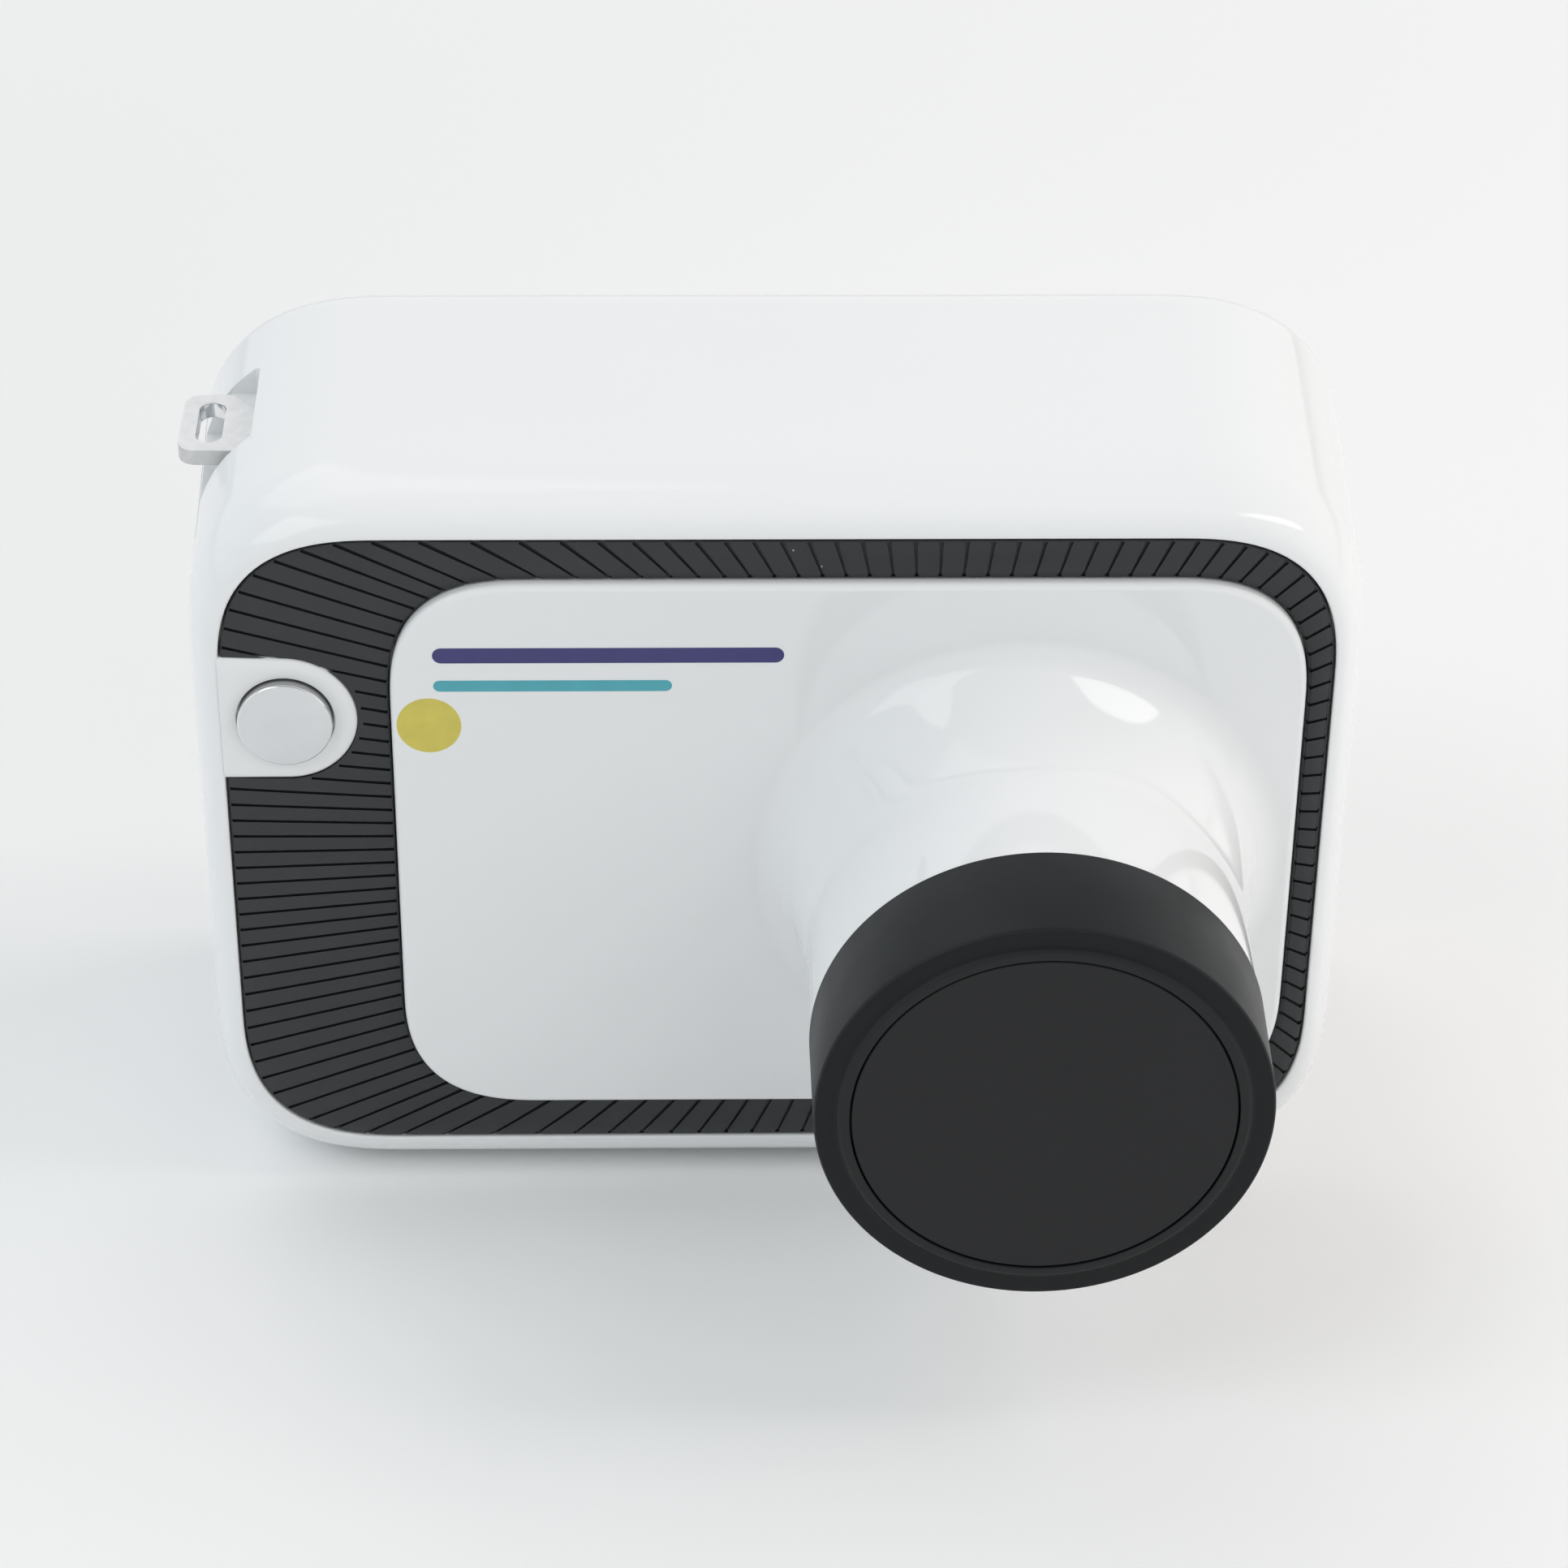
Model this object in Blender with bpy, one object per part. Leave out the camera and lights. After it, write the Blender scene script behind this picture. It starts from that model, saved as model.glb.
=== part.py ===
"""Handheld dental x-ray unit of the camera style, modelled as an assembly of separate pieces.

The frame is in metres: the origin lies in the middle of the flat base, +X points right as seen from the front,
the beam leaves along -Y and +Z is up. A depth is measured inwards from the front plane, so a negative depth
stands out in front of it.
"""

import math
from dataclasses import dataclass, replace

import bmesh
import bpy
from mathutils import Matrix, Vector

# Clearances shared by all pieces
GAP = 0.0003
OVERRUN = 0.003

# Ribbed band round the front
BAND_WIDTH = 0.190
BAND_HEIGHT = 0.127
BAND_CORNER = 0.0285
CORNER_POWER = 2.7
RIB_STEP = 0.0009
RIB_CREST = 0.0004
RIBS_PER_HALF = 67
# Rib number, then how far round the outer and the inner outline it lies
RIB_SHARES = (
    (0, 0.0, 0.0), (8, 0.0528, 0.0583), (15, 0.0979, 0.1058), (20, 0.1314, 0.1414), (30, 0.2042, 0.2201),
    (37, 0.2574, 0.2749), (41, 0.2915, 0.3094), (44, 0.3235, 0.3409), (47, 0.3650, 0.3780),
    (50, 0.3938, 0.3989), (54, 0.4218, 0.4244), (60, 0.4598, 0.4610), (67, 0.5, 0.5),
)

# Housing round the band
SIDE_MARGIN = 0.006
TOP_MARGIN = 0.007
BASE_MARGIN = 0.009
BODY_DEPTH = 0.0775
SIDE_DRAFT = 0.002
TOP_DRAFT = 0.001
FRONT_ROLL = 0.016
REAR_ROLL = 0.009
WALL = 0.0025
FRONT_WALL = 0.003
RECESS_DEPTH = 0.0035
REAR_LIP = 0.003
LEDGE_WIDTH = 0.002
LEDGE_THICKNESS = 0.002

# White front cover with its flared tube
PANEL_LEFT_MARGIN = 0.029
PANEL_RIGHT_MARGIN = 0.0048
PANEL_TOP_MARGIN = 0.008
PANEL_BASE_MARGIN = 0.0091
PANEL_CORNER = 0.0245
PANEL_RISE = 0.0016
PANEL_EDGE = 0.0012
BEAM_X = 0.0428
BEAM_ABOVE_BAND = 0.0579
TUBE_RADIUS = 0.0377
TUBE_BORE = 0.0347
SPIGOT_RADIUS = 0.0362
SPIGOT_LENGTH = 0.016
FLARE_RADIUS = 0.0466
FLARE_LENGTH = 0.0215
FLARE_LIFT = 0.0043
FLARE_SHIFT = 0.0006
# Share of the flare's length, of its extra radius and of its lift
FLARE_SHARES = (
    (0.0, 1.0, 1.0), (0.03, 0.70, 1.05), (0.09, 0.46, 1.09), (0.20, 0.315, 1.07), (0.35, 0.225, 0.91),
    (0.53, 0.135, 0.58), (0.77, 0.045, 0.23), (1.0, 0.0, 0.0),
)

# Black collar and its disc
COLLAR_RADIUS = 0.03806
COLLAR_TAPER = 0.0002
COLLAR_START = 0.04625
COLLAR_LENGTH = 0.02165
COLLAR_EDGE = 0.0009
COLLAR_RING_INNER = 0.0340
COLLAR_RING_SINK = 0.0009
COLLAR_STEP = 0.0005
DISC_RADIUS = 0.03167
DISC_THICKNESS = 0.0022
DISC_SINK = 0.0002
DISC_LEDGE = 0.0014

# Exposure button and its bezel
BUTTON_FROM_EDGE = 0.0110
BUTTON_ABOVE_BAND = 0.0916
BEZEL_RADIUS = 0.0123
BEZEL_RISE = 0.0004
BEZEL_EDGE = 0.0008
BUTTON_RADIUS = 0.00805
BUTTON_CLEARANCE = 0.00035
BUTTON_RISE = 0.0022
BUTTON_CHAMFER = 0.0005
BUTTON_BODY = 0.0034
BUTTON_FLANGE = 0.0011
BUTTON_FLANGE_THICKNESS = 0.001
BUTTON_TRAVEL = 0.001
STEM_RADIUS = 0.003
STEM_REACH = 0.003
SPRING_POCKET = 0.001
SPRING_THICKNESS = 0.0006
SPRING_OUTER = 0.0075
SWITCH_SIZE = 0.008
SWITCH_DEPTH = 0.0034
TRIGGER_BOARD_WIDTH = 0.012
TRIGGER_BOARD_HEIGHT = 0.026
BOARD_THICKNESS = 0.0016
POST_RADIUS = 0.0018
POST_INSET = 0.003

# Strap lug in its pocket
LUG_TOP_BELOW_ROOF = 0.0088
LUG_THICKNESS = 0.003
LUG_WIDTH = 0.0195
LUG_CENTRE_DEPTH = 0.0428
LUG_OUTSTAND = 0.0004
LUG_CORNER = 0.0032
LUG_TAIL = 0.0135
SLOT_WIDTH = 0.0045
SLOT_LENGTH = 0.0135
SLOT_EDGE = 0.0029
POCKET_REACH = 0.0108
POCKET_LENGTH = 0.0234
POCKET_FLOOR_BELOW_LUG = 0.0063
LUG_SCREW_SPACING = 0.010
LUG_SCREW_FROM_WALL = 0.0085
LUG_SHELF_HEIGHT = 0.0075

# Battery door in the left side, and what lies behind it
DOOR_DEPTH = 0.003
DOOR_FRONT = 0.012
DOOR_BACK = 0.003
DOOR_TOP_BELOW_ROOF = 0.0192
DOOR_LOW = 0.018
DOOR_CORNER = 0.018
CELL_DIAMETER = 0.0185
CELL_HEIGHT = 0.070
PACK_LOW = 0.027
PACK_CLEARANCE = 0.001
PACK_TO_POSTS = 0.001
CRADLE_WALL = 0.0025
CONNECTOR_DEPTH = 0.004
CONNECTOR_SIDE = 0.012

# X-ray head: a tank with its tube, transformer and screws
TANK_WIDTH = 0.084
TANK_HEIGHT = 0.098
TANK_WALL = 0.003
TANK_TO_BOARD = 0.0024
TANK_CORNER = 0.006
TANK_ROOM = 0.001
TANK_LID = 0.003
SHIELD_THICKNESS = 0.0035
TANK_PLATE = 0.002
TANK_PLATE_MARGIN = 0.003
PORT_RADIUS = 0.012
FILTER_THICKNESS = 0.0012
COLLIMATOR_RADIUS = 0.020
COLLIMATOR_DEPTH = 0.006
LINER_THICKNESS = 0.0006
TUBE_GLASS_RADIUS = 0.011
TUBE_GLASS_WALL = 0.0014
TUBE_GLASS_LENGTH = 0.050
TUBE_SETBACK = 0.0045
ANODE_RADIUS = 0.007
ANODE_OUT = 0.008
TARGET_GAP = 0.008
CATHODE_RADIUS = 0.0055
CATHODE_OUT = 0.006
SADDLE_HEIGHT = 0.006
SADDLE_MARGIN = 0.003
SADDLE_INSET = 0.004
CORE_HEIGHT = 0.044
CORE_LEG = 0.007
WINDING_BUILD = 0.002
WINDING_HEIGHT = 0.026
MULTIPLIER_HEIGHT = 0.056
MULTIPLIER_DEPTH = 0.012

# Screws
SCREW_RADIUS = 0.0014
SCREW_HEAD_RADIUS = 0.0027
SCREW_HEAD_HEIGHT = 0.0013
SCREW_BITE = 0.0035
SCREW_SOCKET_RADIUS = 0.0012
SCREW_SOCKET_DEPTH = 0.0007
COVER_SCREW_INSET = 0.012
COVER_SCREW_SPACING = 0.044
REAR_SCREW_LENGTH = 0.007
BOSS_RADIUS = 0.0042
BOSS_LENGTH = 0.005
BOSS_INSET = 0.003
# How far round the rear ledge each post stands
BOSS_SHARES = (0.104, 0.396, 0.604, 0.896)

# Rear cover, display, keys and main board
COVER_THICKNESS = 0.0025
SEAL_THICKNESS = 0.0008
DISPLAY_X = 0.018
DISPLAY_Z = 0.078
GLASS_WIDTH = 0.080
GLASS_HEIGHT = 0.060
GLASS_CORNER = 0.004
GLASS_THICKNESS = 0.0013
GLASS_LEDGE = 0.003
MODULE_DEPTH = 0.0035
MODULE_MARGIN = 0.002
KEY_X = -0.048
POWER_KEY_HEIGHT = 0.100
POWER_KEY_RADIUS = 0.0055
MENU_KEY_DROP = 0.020
MENU_KEY_RADIUS = 0.0045
MENU_KEY_PITCH = 0.0145
MENU_KEY_COUNT = 3
KEY_CLEARANCE = 0.0003
KEY_RISE = 0.0008
KEY_CHAMFER = 0.0004
KEY_FLANGE = 0.001
KEY_FLANGE_THICKNESS = 0.001
KEY_TRAVEL = 0.0005
KEY_SWITCH_SIZE = 0.0036
KEY_SWITCH_HEIGHT = 0.001
KEY_BOARD_WIDTH = 0.016
KEY_BOARD_MARGIN = 0.012
MAIN_BOARD_WIDTH = 0.104
MAIN_BOARD_HEIGHT = 0.084
MAIN_BOARD_BEHIND_COVER = 0.0095
CHIP_WIDTH = 0.018
CHIP_HEIGHT = 0.0016
CAPACITOR_RADIUS = 0.004
CAPACITOR_HEIGHT = 0.0022
BUZZER_RADIUS = 0.006
BUZZER_HEIGHT = 0.0024

# Tripod bush in the base
TRIPOD_X = 0.030
TRIPOD_RADIUS = 0.0065
TRIPOD_BORE = 0.0032
TRIPOD_HEIGHT = 0.008
TRIPOD_SINK = 0.0003
TRIPOD_BOSS_WALL = 0.003

# Mesh fineness, as counts
CORNER_STEPS = 7
ROLL_STEPS = 4
TUBE_SEGMENTS = 44
BUTTON_SEGMENTS = 28
SMALL_SEGMENTS = 16
SCREW_SEGMENTS = 10
SMOOTH_ANGLE = math.radians(35)

# Places worked out from the sizes above
FRONT_Y = -BODY_DEPTH / 2
HALF_BAND = BAND_WIDTH / 2
WIDEST_LEFT = -HALF_BAND - SIDE_MARGIN - SIDE_DRAFT
BAND_LOW = BASE_MARGIN
BAND_TOP = BASE_MARGIN + BAND_HEIGHT
ROOF = BAND_TOP + TOP_MARGIN
BEAM_Z = BAND_LOW + BEAM_ABOVE_BAND
BUTTON_X = -HALF_BAND + BUTTON_FROM_EDGE
BUTTON_Z = BAND_LOW + BUTTON_ABOVE_BAND
FRONT_WALL_BACK = RECESS_DEPTH + FRONT_WALL
COVER_INNER = BODY_DEPTH - COVER_THICKNESS
SEAL_BACK = COVER_INNER - GAP - SEAL_THICKNESS
LEDGE_FACE = SEAL_BACK - GAP
LEDGE_BACK = LEDGE_FACE - LEDGE_THICKNESS
ROLL_START = BODY_DEPTH - REAR_ROLL
LUG_TOP = ROOF - LUG_TOP_BELOW_ROOF
LUG_LOW = LUG_TOP - LUG_THICKNESS
POCKET_FLOOR = LUG_LOW - POCKET_FLOOR_BELOW_LUG
DOOR_TOP = ROOF - DOOR_TOP_BELOW_ROOF


def at(depth):
    """Y of a depth measured inwards from the front plane."""
    return FRONT_Y + depth


@dataclass(frozen=True)
class Outline:
    """A rounded rectangle in the XZ plane whose corners are superellipse arcs."""

    left: float
    right: float
    low: float
    high: float
    corner: float
    steps: int = CORNER_STEPS

    def grown(self, sides, top=None, base=None):
        """The same outline moved outwards by the given amounts."""
        top = sides if top is None else top
        base = sides if base is None else base
        return replace(self, left=self.left - sides, right=self.right + sides, low=self.low - base,
                       high=self.high + top, corner=self.corner + sides)

    def flat(self):
        """(x, z) points, anticlockwise as seen from the front, from the top right corner on."""
        points = []
        for side, level in ((1, 1), (-1, 1), (-1, -1), (1, -1)):
            for step in range(self.steps + 1):
                turn = step / self.steps if side == level else 1 - step / self.steps
                across = math.cos(turn * math.pi / 2) ** (2 / CORNER_POWER)
                up = math.sin(turn * math.pi / 2) ** (2 / CORNER_POWER)
                x = (self.right if side > 0 else self.left) - side * self.corner * (1 - across)
                z = (self.high if level > 0 else self.low) - level * self.corner * (1 - up)
                points.append((x, z))
        return points

    def loop(self, y):
        """The outline's points at one Y."""
        return [Vector((x, y, z)) for x, z in self.flat()]

    def around(self, share):
        """The (x, z) point a share of the way round, from the middle of the right side, anticlockwise."""
        start = (self.right, (self.low + self.high) / 2)
        points = [start] + self.flat() + [start]
        lengths = [math.dist(a, b) for a, b in zip(points, points[1:])]
        left = (share % 1.0) * sum(lengths)
        for (a, b), length in zip(zip(points, points[1:]), lengths):
            if left <= length and length > 0:
                return tuple(p + (q - p) * left / length for p, q in zip(a, b))
            left -= length
        return start


BAND = Outline(-HALF_BAND, HALF_BAND, BAND_LOW, BAND_TOP, BAND_CORNER)
PANEL = Outline(-HALF_BAND + PANEL_LEFT_MARGIN, HALF_BAND - PANEL_RIGHT_MARGIN,
                BAND_LOW + PANEL_BASE_MARGIN, BAND_TOP - PANEL_TOP_MARGIN, PANEL_CORNER)


def margins(depth):
    """How far the housing's skin stands outside the band at a depth: (sides, top, base)."""
    if depth < FRONT_ROLL:
        swell = math.sqrt(max(0.0, 1 - (1 - depth / FRONT_ROLL) ** 2))
        return SIDE_MARGIN * swell, TOP_MARGIN * swell, BASE_MARGIN * swell
    run = min(1.0, (depth - FRONT_ROLL) / (ROLL_START - FRONT_ROLL))
    sides, top, base = SIDE_MARGIN + SIDE_DRAFT * run, TOP_MARGIN + TOP_DRAFT * run, BASE_MARGIN
    if depth > ROLL_START:
        inset = REAR_ROLL * (1 - math.sqrt(max(0.0, 1 - ((depth - ROLL_START) / REAR_ROLL) ** 2)))
        return sides - inset, top - inset, base - inset
    return sides, top, base


def skin(depth, inset=0.0):
    """The housing's outline at a depth, moved inwards by an inset."""
    sides, top, base = margins(depth)
    return BAND.grown(sides - inset, top - inset, base - inset)


def clear_scene():
    """Remove every object that the file starts with."""
    for item in list(bpy.data.objects):
        bpy.data.objects.remove(item, do_unlink=True)


def material(name, colour, roughness, metallic=0.0, alpha=1.0):
    """A Principled material, made once for each name."""
    if name in bpy.data.materials:
        return bpy.data.materials[name]
    made = bpy.data.materials.new(name)
    made.use_nodes = True
    shader = made.node_tree.nodes["Principled BSDF"]
    shader.inputs["Base Color"].default_value = (*colour, 1.0)
    shader.inputs["Roughness"].default_value = roughness
    shader.inputs["Metallic"].default_value = metallic
    shader.inputs["Alpha"].default_value = alpha
    return made


def white_plastic():
    return material("white_plastic", (0.86, 0.87, 0.88), 0.18)


def dark_rubber():
    return material("dark_rubber", (0.040, 0.043, 0.047), 0.62)


def black_plastic():
    return material("black_plastic", (0.028, 0.029, 0.032), 0.45)


def satin_metal():
    return material("satin_metal", (0.66, 0.67, 0.69), 0.33, 1.0)


def bare_aluminium():
    return material("bare_aluminium", (0.74, 0.75, 0.76), 0.42, 1.0)


def steel():
    return material("steel", (0.55, 0.56, 0.58), 0.30, 1.0)


def lead():
    return material("lead", (0.30, 0.31, 0.33), 0.55, 1.0)


def copper():
    return material("copper", (0.72, 0.40, 0.26), 0.35, 1.0)


def brass():
    return material("brass", (0.76, 0.62, 0.34), 0.32, 1.0)


def clear_glass():
    return material("clear_glass", (0.80, 0.86, 0.86), 0.05, 0.0, 0.35)


def dark_glass():
    return material("dark_glass", (0.012, 0.013, 0.016), 0.06)


def green_board():
    return material("green_board", (0.03, 0.19, 0.09), 0.45)


def ferrite():
    return material("ferrite", (0.07, 0.07, 0.075), 0.6)


def blue_wrap():
    return material("blue_wrap", (0.05, 0.14, 0.38), 0.38)


def resin():
    return material("resin", (0.36, 0.22, 0.10), 0.4)


def grey_plastic():
    return material("grey_plastic", (0.42, 0.44, 0.46), 0.42)


def finish_mesh(name, bm, surface, smooth=True):
    """Turn a bmesh into a named object with outward faces."""
    bmesh.ops.recalc_face_normals(bm, faces=bm.faces)
    mesh = bpy.data.meshes.new(name)
    bm.to_mesh(mesh)
    bm.free()
    if smooth:
        mesh.shade_smooth()
        mesh.set_sharp_from_angle(angle=SMOOTH_ANGLE)
    made = bpy.data.objects.new(name, mesh)
    if surface is not None:
        mesh.materials.append(surface)
    bpy.context.scene.collection.objects.link(made)
    return made


def add_loft(bm, loops):
    """Skin a list of loops of equal length and cap both ends."""
    rings = [[bm.verts.new(point) for point in loop] for loop in loops]
    for near, far in zip(rings, rings[1:]):
        for here in range(len(near)):
            after = (here + 1) % len(near)
            bm.faces.new((near[here], near[after], far[after], far[here]))
    bm.faces.new(rings[0])
    bm.faces.new(list(reversed(rings[-1])))


def loft(name, loops, surface=None, smooth=True):
    """One solid skinned over loops of equal length."""
    bm = bmesh.new()
    add_loft(bm, loops)
    return finish_mesh(name, bm, surface, smooth)


def ring_loft(name, loops, surface=None, smooth=True):
    """A solid ring: loops of equal length, each joined to the next and the last to the first."""
    bm = bmesh.new()
    rings = [[bm.verts.new(point) for point in loop] for loop in loops]
    for near, far in zip(rings, rings[1:] + rings[:1]):
        for here in range(len(near)):
            after = (here + 1) % len(near)
            bm.faces.new((near[here], near[after], far[after], far[here]))
    return finish_mesh(name, bm, surface, smooth)


def circle(x, z, radius, y, segments):
    """Points of a circle round an axis along Y."""
    turns = [2 * math.pi * step / segments for step in range(segments)]
    return [Vector((x + radius * math.cos(turn), y, z + radius * math.sin(turn))) for turn in turns]


def disc_stack(name, x, z, sections, segments=SMALL_SEGMENTS, surface=None):
    """A solid turned about an axis along Y, from (radius, depth) sections in order."""
    return loft(name, [circle(x, z, radius, at(depth), segments) for radius, depth in sections], surface)


def turned_ring(name, x, z, sections, segments=TUBE_SEGMENTS, surface=None):
    """A ring turned about an axis along Y, from a closed profile of (radius, depth)."""
    return ring_loft(name, [circle(x, z, radius, at(depth), segments) for radius, depth in sections], surface)


def upright(name, x, y, sections, segments=SMALL_SEGMENTS, surface=None, ring=False):
    """A solid or ring turned about an axis along Z, from (radius, z) sections."""
    turns = [2 * math.pi * step / segments for step in range(segments)]
    loops = [[Vector((x + radius * math.cos(turn), y + radius * math.sin(turn), z)) for turn in turns]
             for radius, z in sections]
    return (ring_loft if ring else loft)(name, loops, surface)


def upright_prism(name, edge, low, high, surface=None):
    """A prism along Z over an (x, y) outline."""
    return loft(name, [[Vector((x, y, z)) for x, y in edge] for z in (low, high)], surface)


def add_box(bm, low, high):
    """Add one box to a bmesh."""
    size = Vector(high) - Vector(low)
    centre = (Vector(high) + Vector(low)) / 2
    bmesh.ops.create_cube(bm, size=1.0, matrix=Matrix.Translation(centre) @ Matrix.Diagonal((*size, 1.0)))


def box(name, low, high, surface=None):
    """One box between two corners."""
    bm = bmesh.new()
    add_box(bm, low, high)
    return finish_mesh(name, bm, surface, smooth=False)


def hide(cutter):
    """Keep a cutter out of the model."""
    cutter.hide_render = True
    cutter.display_type = "WIRE"
    return cutter


def combine(target, others, operation):
    """Cut, join or intersect a piece with helper solids."""
    for other in others:
        step = target.modifiers.new(other.name, "BOOLEAN")
        step.operation = operation
        step.solver = "EXACT"
        step.object = hide(other)
    return target


def cut(target, *cutters):
    """Cut helper solids out of a piece."""
    return combine(target, cutters, "DIFFERENCE")


def join(target, *others):
    """Join helper solids to a piece."""
    return combine(target, others, "UNION")


def hang_on(piece, name, place):
    """Put a moving piece under an empty on its joint's axis."""
    empty = bpy.data.objects.new(name, None)
    empty.location = place
    bpy.context.scene.collection.objects.link(empty)
    piece.parent = empty
    piece.matrix_parent_inverse = Matrix.Translation(-Vector(place))
    return piece


def screws(name, places, head_depth, length):
    """Socket screws along Y, heads at a depth towards the rear and shanks towards the front."""
    under = head_depth - SCREW_HEAD_HEIGHT
    floor = head_depth - SCREW_SOCKET_DEPTH
    sections = [(SCREW_SOCKET_RADIUS, floor), (SCREW_SOCKET_RADIUS, head_depth),
                (SCREW_HEAD_RADIUS, head_depth), (SCREW_HEAD_RADIUS, under),
                (SCREW_RADIUS, under), (SCREW_RADIUS, under - length)]
    for count, (x, z) in enumerate(places, 1):
        disc_stack(f"{name}_{count}", x, z, sections, SCREW_SEGMENTS, steel())


# Housing


def boss_places():
    """(x, z) of the four posts on the rear ledge that take the rear cover's screws."""
    line = rear_outline().grown(-LEDGE_WIDTH - BOSS_INSET)
    return [line.around(share) for share in BOSS_SHARES]


def cover_screw_places():
    """(x, z) of the screws that hold the front cover."""
    inner = PANEL.grown(-COVER_SCREW_INSET)
    return [(x, z) for x in (inner.left, inner.left + COVER_SCREW_SPACING) for z in (inner.low, inner.high)]


def trigger_post_places():
    """(x, z) of the two posts of the trigger board."""
    reach = TRIGGER_BOARD_HEIGHT / 2 - POST_INSET
    return [(BUTTON_X, BUTTON_Z - reach), (BUTTON_X, BUTTON_Z + reach)]


def pocket_box(grow=0.0):
    """Corners of the strap lug's pocket, open to the left and above."""
    half = POCKET_LENGTH / 2 + grow
    return ((WIDEST_LEFT - OVERRUN, at(LUG_CENTRE_DEPTH - half), POCKET_FLOOR - grow),
            (pocket_wall_x() + grow, at(LUG_CENTRE_DEPTH + half), ROOF + TOP_DRAFT + OVERRUN))


def pocket_wall_x():
    """X of the pocket's upright inner wall."""
    return -HALF_BAND - SIDE_MARGIN + POCKET_REACH


def door_floor_x():
    """X of the floor of the battery door's recess."""
    return -HALF_BAND - SIDE_MARGIN + DOOR_DEPTH


def inner_space(name, inset=0.0):
    """The space inside the housing's walls, moved inwards by an inset."""
    depths = [FRONT_WALL_BACK, (FRONT_WALL_BACK + FRONT_ROLL) / 2, FRONT_ROLL, ROLL_START,
              (ROLL_START + LEDGE_BACK) / 2, LEDGE_BACK]
    loops = []
    for depth in depths:
        shape = skin(depth, WALL + inset)
        shape = replace(shape, left=door_floor_x() + WALL + inset)
        loops.append(shape.loop(at(depth)))
    return loft(name, loops, smooth=False)


def cavity():
    """The hollow inside the housing, with the lug's shelf and pocket walls left standing."""
    hollow = inner_space("cavity")
    pocket_low, pocket_high = pocket_box(WALL)
    shelf_low = (pocket_low[0], pocket_low[1], LUG_LOW - GAP - LUG_SHELF_HEIGHT)
    shelf_high = (pocket_wall_x() + LUG_TAIL, pocket_high[1], LUG_LOW - GAP)
    return cut(hollow, box("pocket_walls", pocket_low, pocket_high), box("lug_shelf", shelf_low, shelf_high))


def inner_posts():
    """Posts inside the housing for the rear screws and the trigger board, and the boss of the tripod bush."""
    posts = []
    for count, (x, z) in enumerate(boss_places()):
        sections = [(BOSS_RADIUS, LEDGE_FACE - BOSS_LENGTH), (BOSS_RADIUS, LEDGE_FACE)]
        posts.append(disc_stack(f"boss_{count}", x, z, sections, SCREW_SEGMENTS))
    for count, (x, z) in enumerate(trigger_post_places()):
        sections = [(POST_RADIUS, FRONT_WALL_BACK - FRONT_WALL / 2), (POST_RADIUS, trigger_board_front() - GAP)]
        posts.append(disc_stack(f"trigger_post_{count}", x, z, sections, SCREW_SEGMENTS))
    radius = TRIPOD_RADIUS + TRIPOD_BOSS_WALL
    sections = [(radius, WALL / 2), (radius, TRIPOD_HEIGHT + TRIPOD_BOSS_WALL)]
    return posts + [upright("tripod_boss", TRIPOD_X, 0, sections)]


def door_prism(name, grow, back):
    """The battery door's outline on the side, as a prism along X."""
    front, low, high = DOOR_FRONT - grow, DOOR_LOW - grow, DOOR_TOP + grow
    corner = DOOR_CORNER + grow
    edge = [(front, low), (back, low), (back, high)]
    for step in range(CORNER_STEPS + 1):
        turn = step / CORNER_STEPS * math.pi / 2
        edge.append((front + corner * (1 - math.sin(turn)), high - corner * (1 - math.cos(turn))))
    ends = (WIDEST_LEFT - OVERRUN, door_floor_x() - (0 if grow > 0 else GAP))
    return loft(name, [[Vector((x, at(depth), z)) for depth, z in edge] for x in ends], smooth=False)


def skin_loops():
    """Loops of the housing's outer surface from front to back."""
    turns = [step / ROLL_STEPS * math.pi / 2 for step in range(ROLL_STEPS + 1)]
    front = [FRONT_ROLL * (1 - math.cos(turn)) for turn in turns]
    rear = [ROLL_START + REAR_ROLL * math.sin(turn) for turn in turns]
    return [skin(depth).loop(at(depth)) for depth in front + rear]


def housing():
    """White shell: rounded rim, front wall behind the band, rebate for the rear cover."""
    shell = loft("housing", skin_loops(), white_plastic())
    cover = rear_outline()
    ledge = cover.grown(-LEDGE_WIDTH)
    cut(shell, loft("front_recess", [BAND.loop(at(-OVERRUN)), BAND.loop(at(RECESS_DEPTH))], smooth=False),
        cavity(),
        loft("rear_rebate", [cover.loop(at(LEDGE_FACE)), cover.loop(at(BODY_DEPTH + OVERRUN))], smooth=False),
        loft("rear_opening", [ledge.loop(at(LEDGE_BACK - OVERRUN)), ledge.loop(at(LEDGE_FACE + OVERRUN))],
             smooth=False),
        box("strap_pocket", *pocket_box()), door_prism("door_recess", GAP, BODY_DEPTH + OVERRUN),
        box("battery_mouth", *battery_mouth()))
    join(shell, *inner_posts())
    return cut(shell, *housing_holes())


def through_front(name, x, z, radius, segments=SCREW_SEGMENTS):
    """A cutter for a round hole through the front wall."""
    sections = [(radius, RECESS_DEPTH - OVERRUN), (radius, FRONT_WALL_BACK + OVERRUN)]
    return disc_stack(name, x, z, sections, segments)


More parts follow.
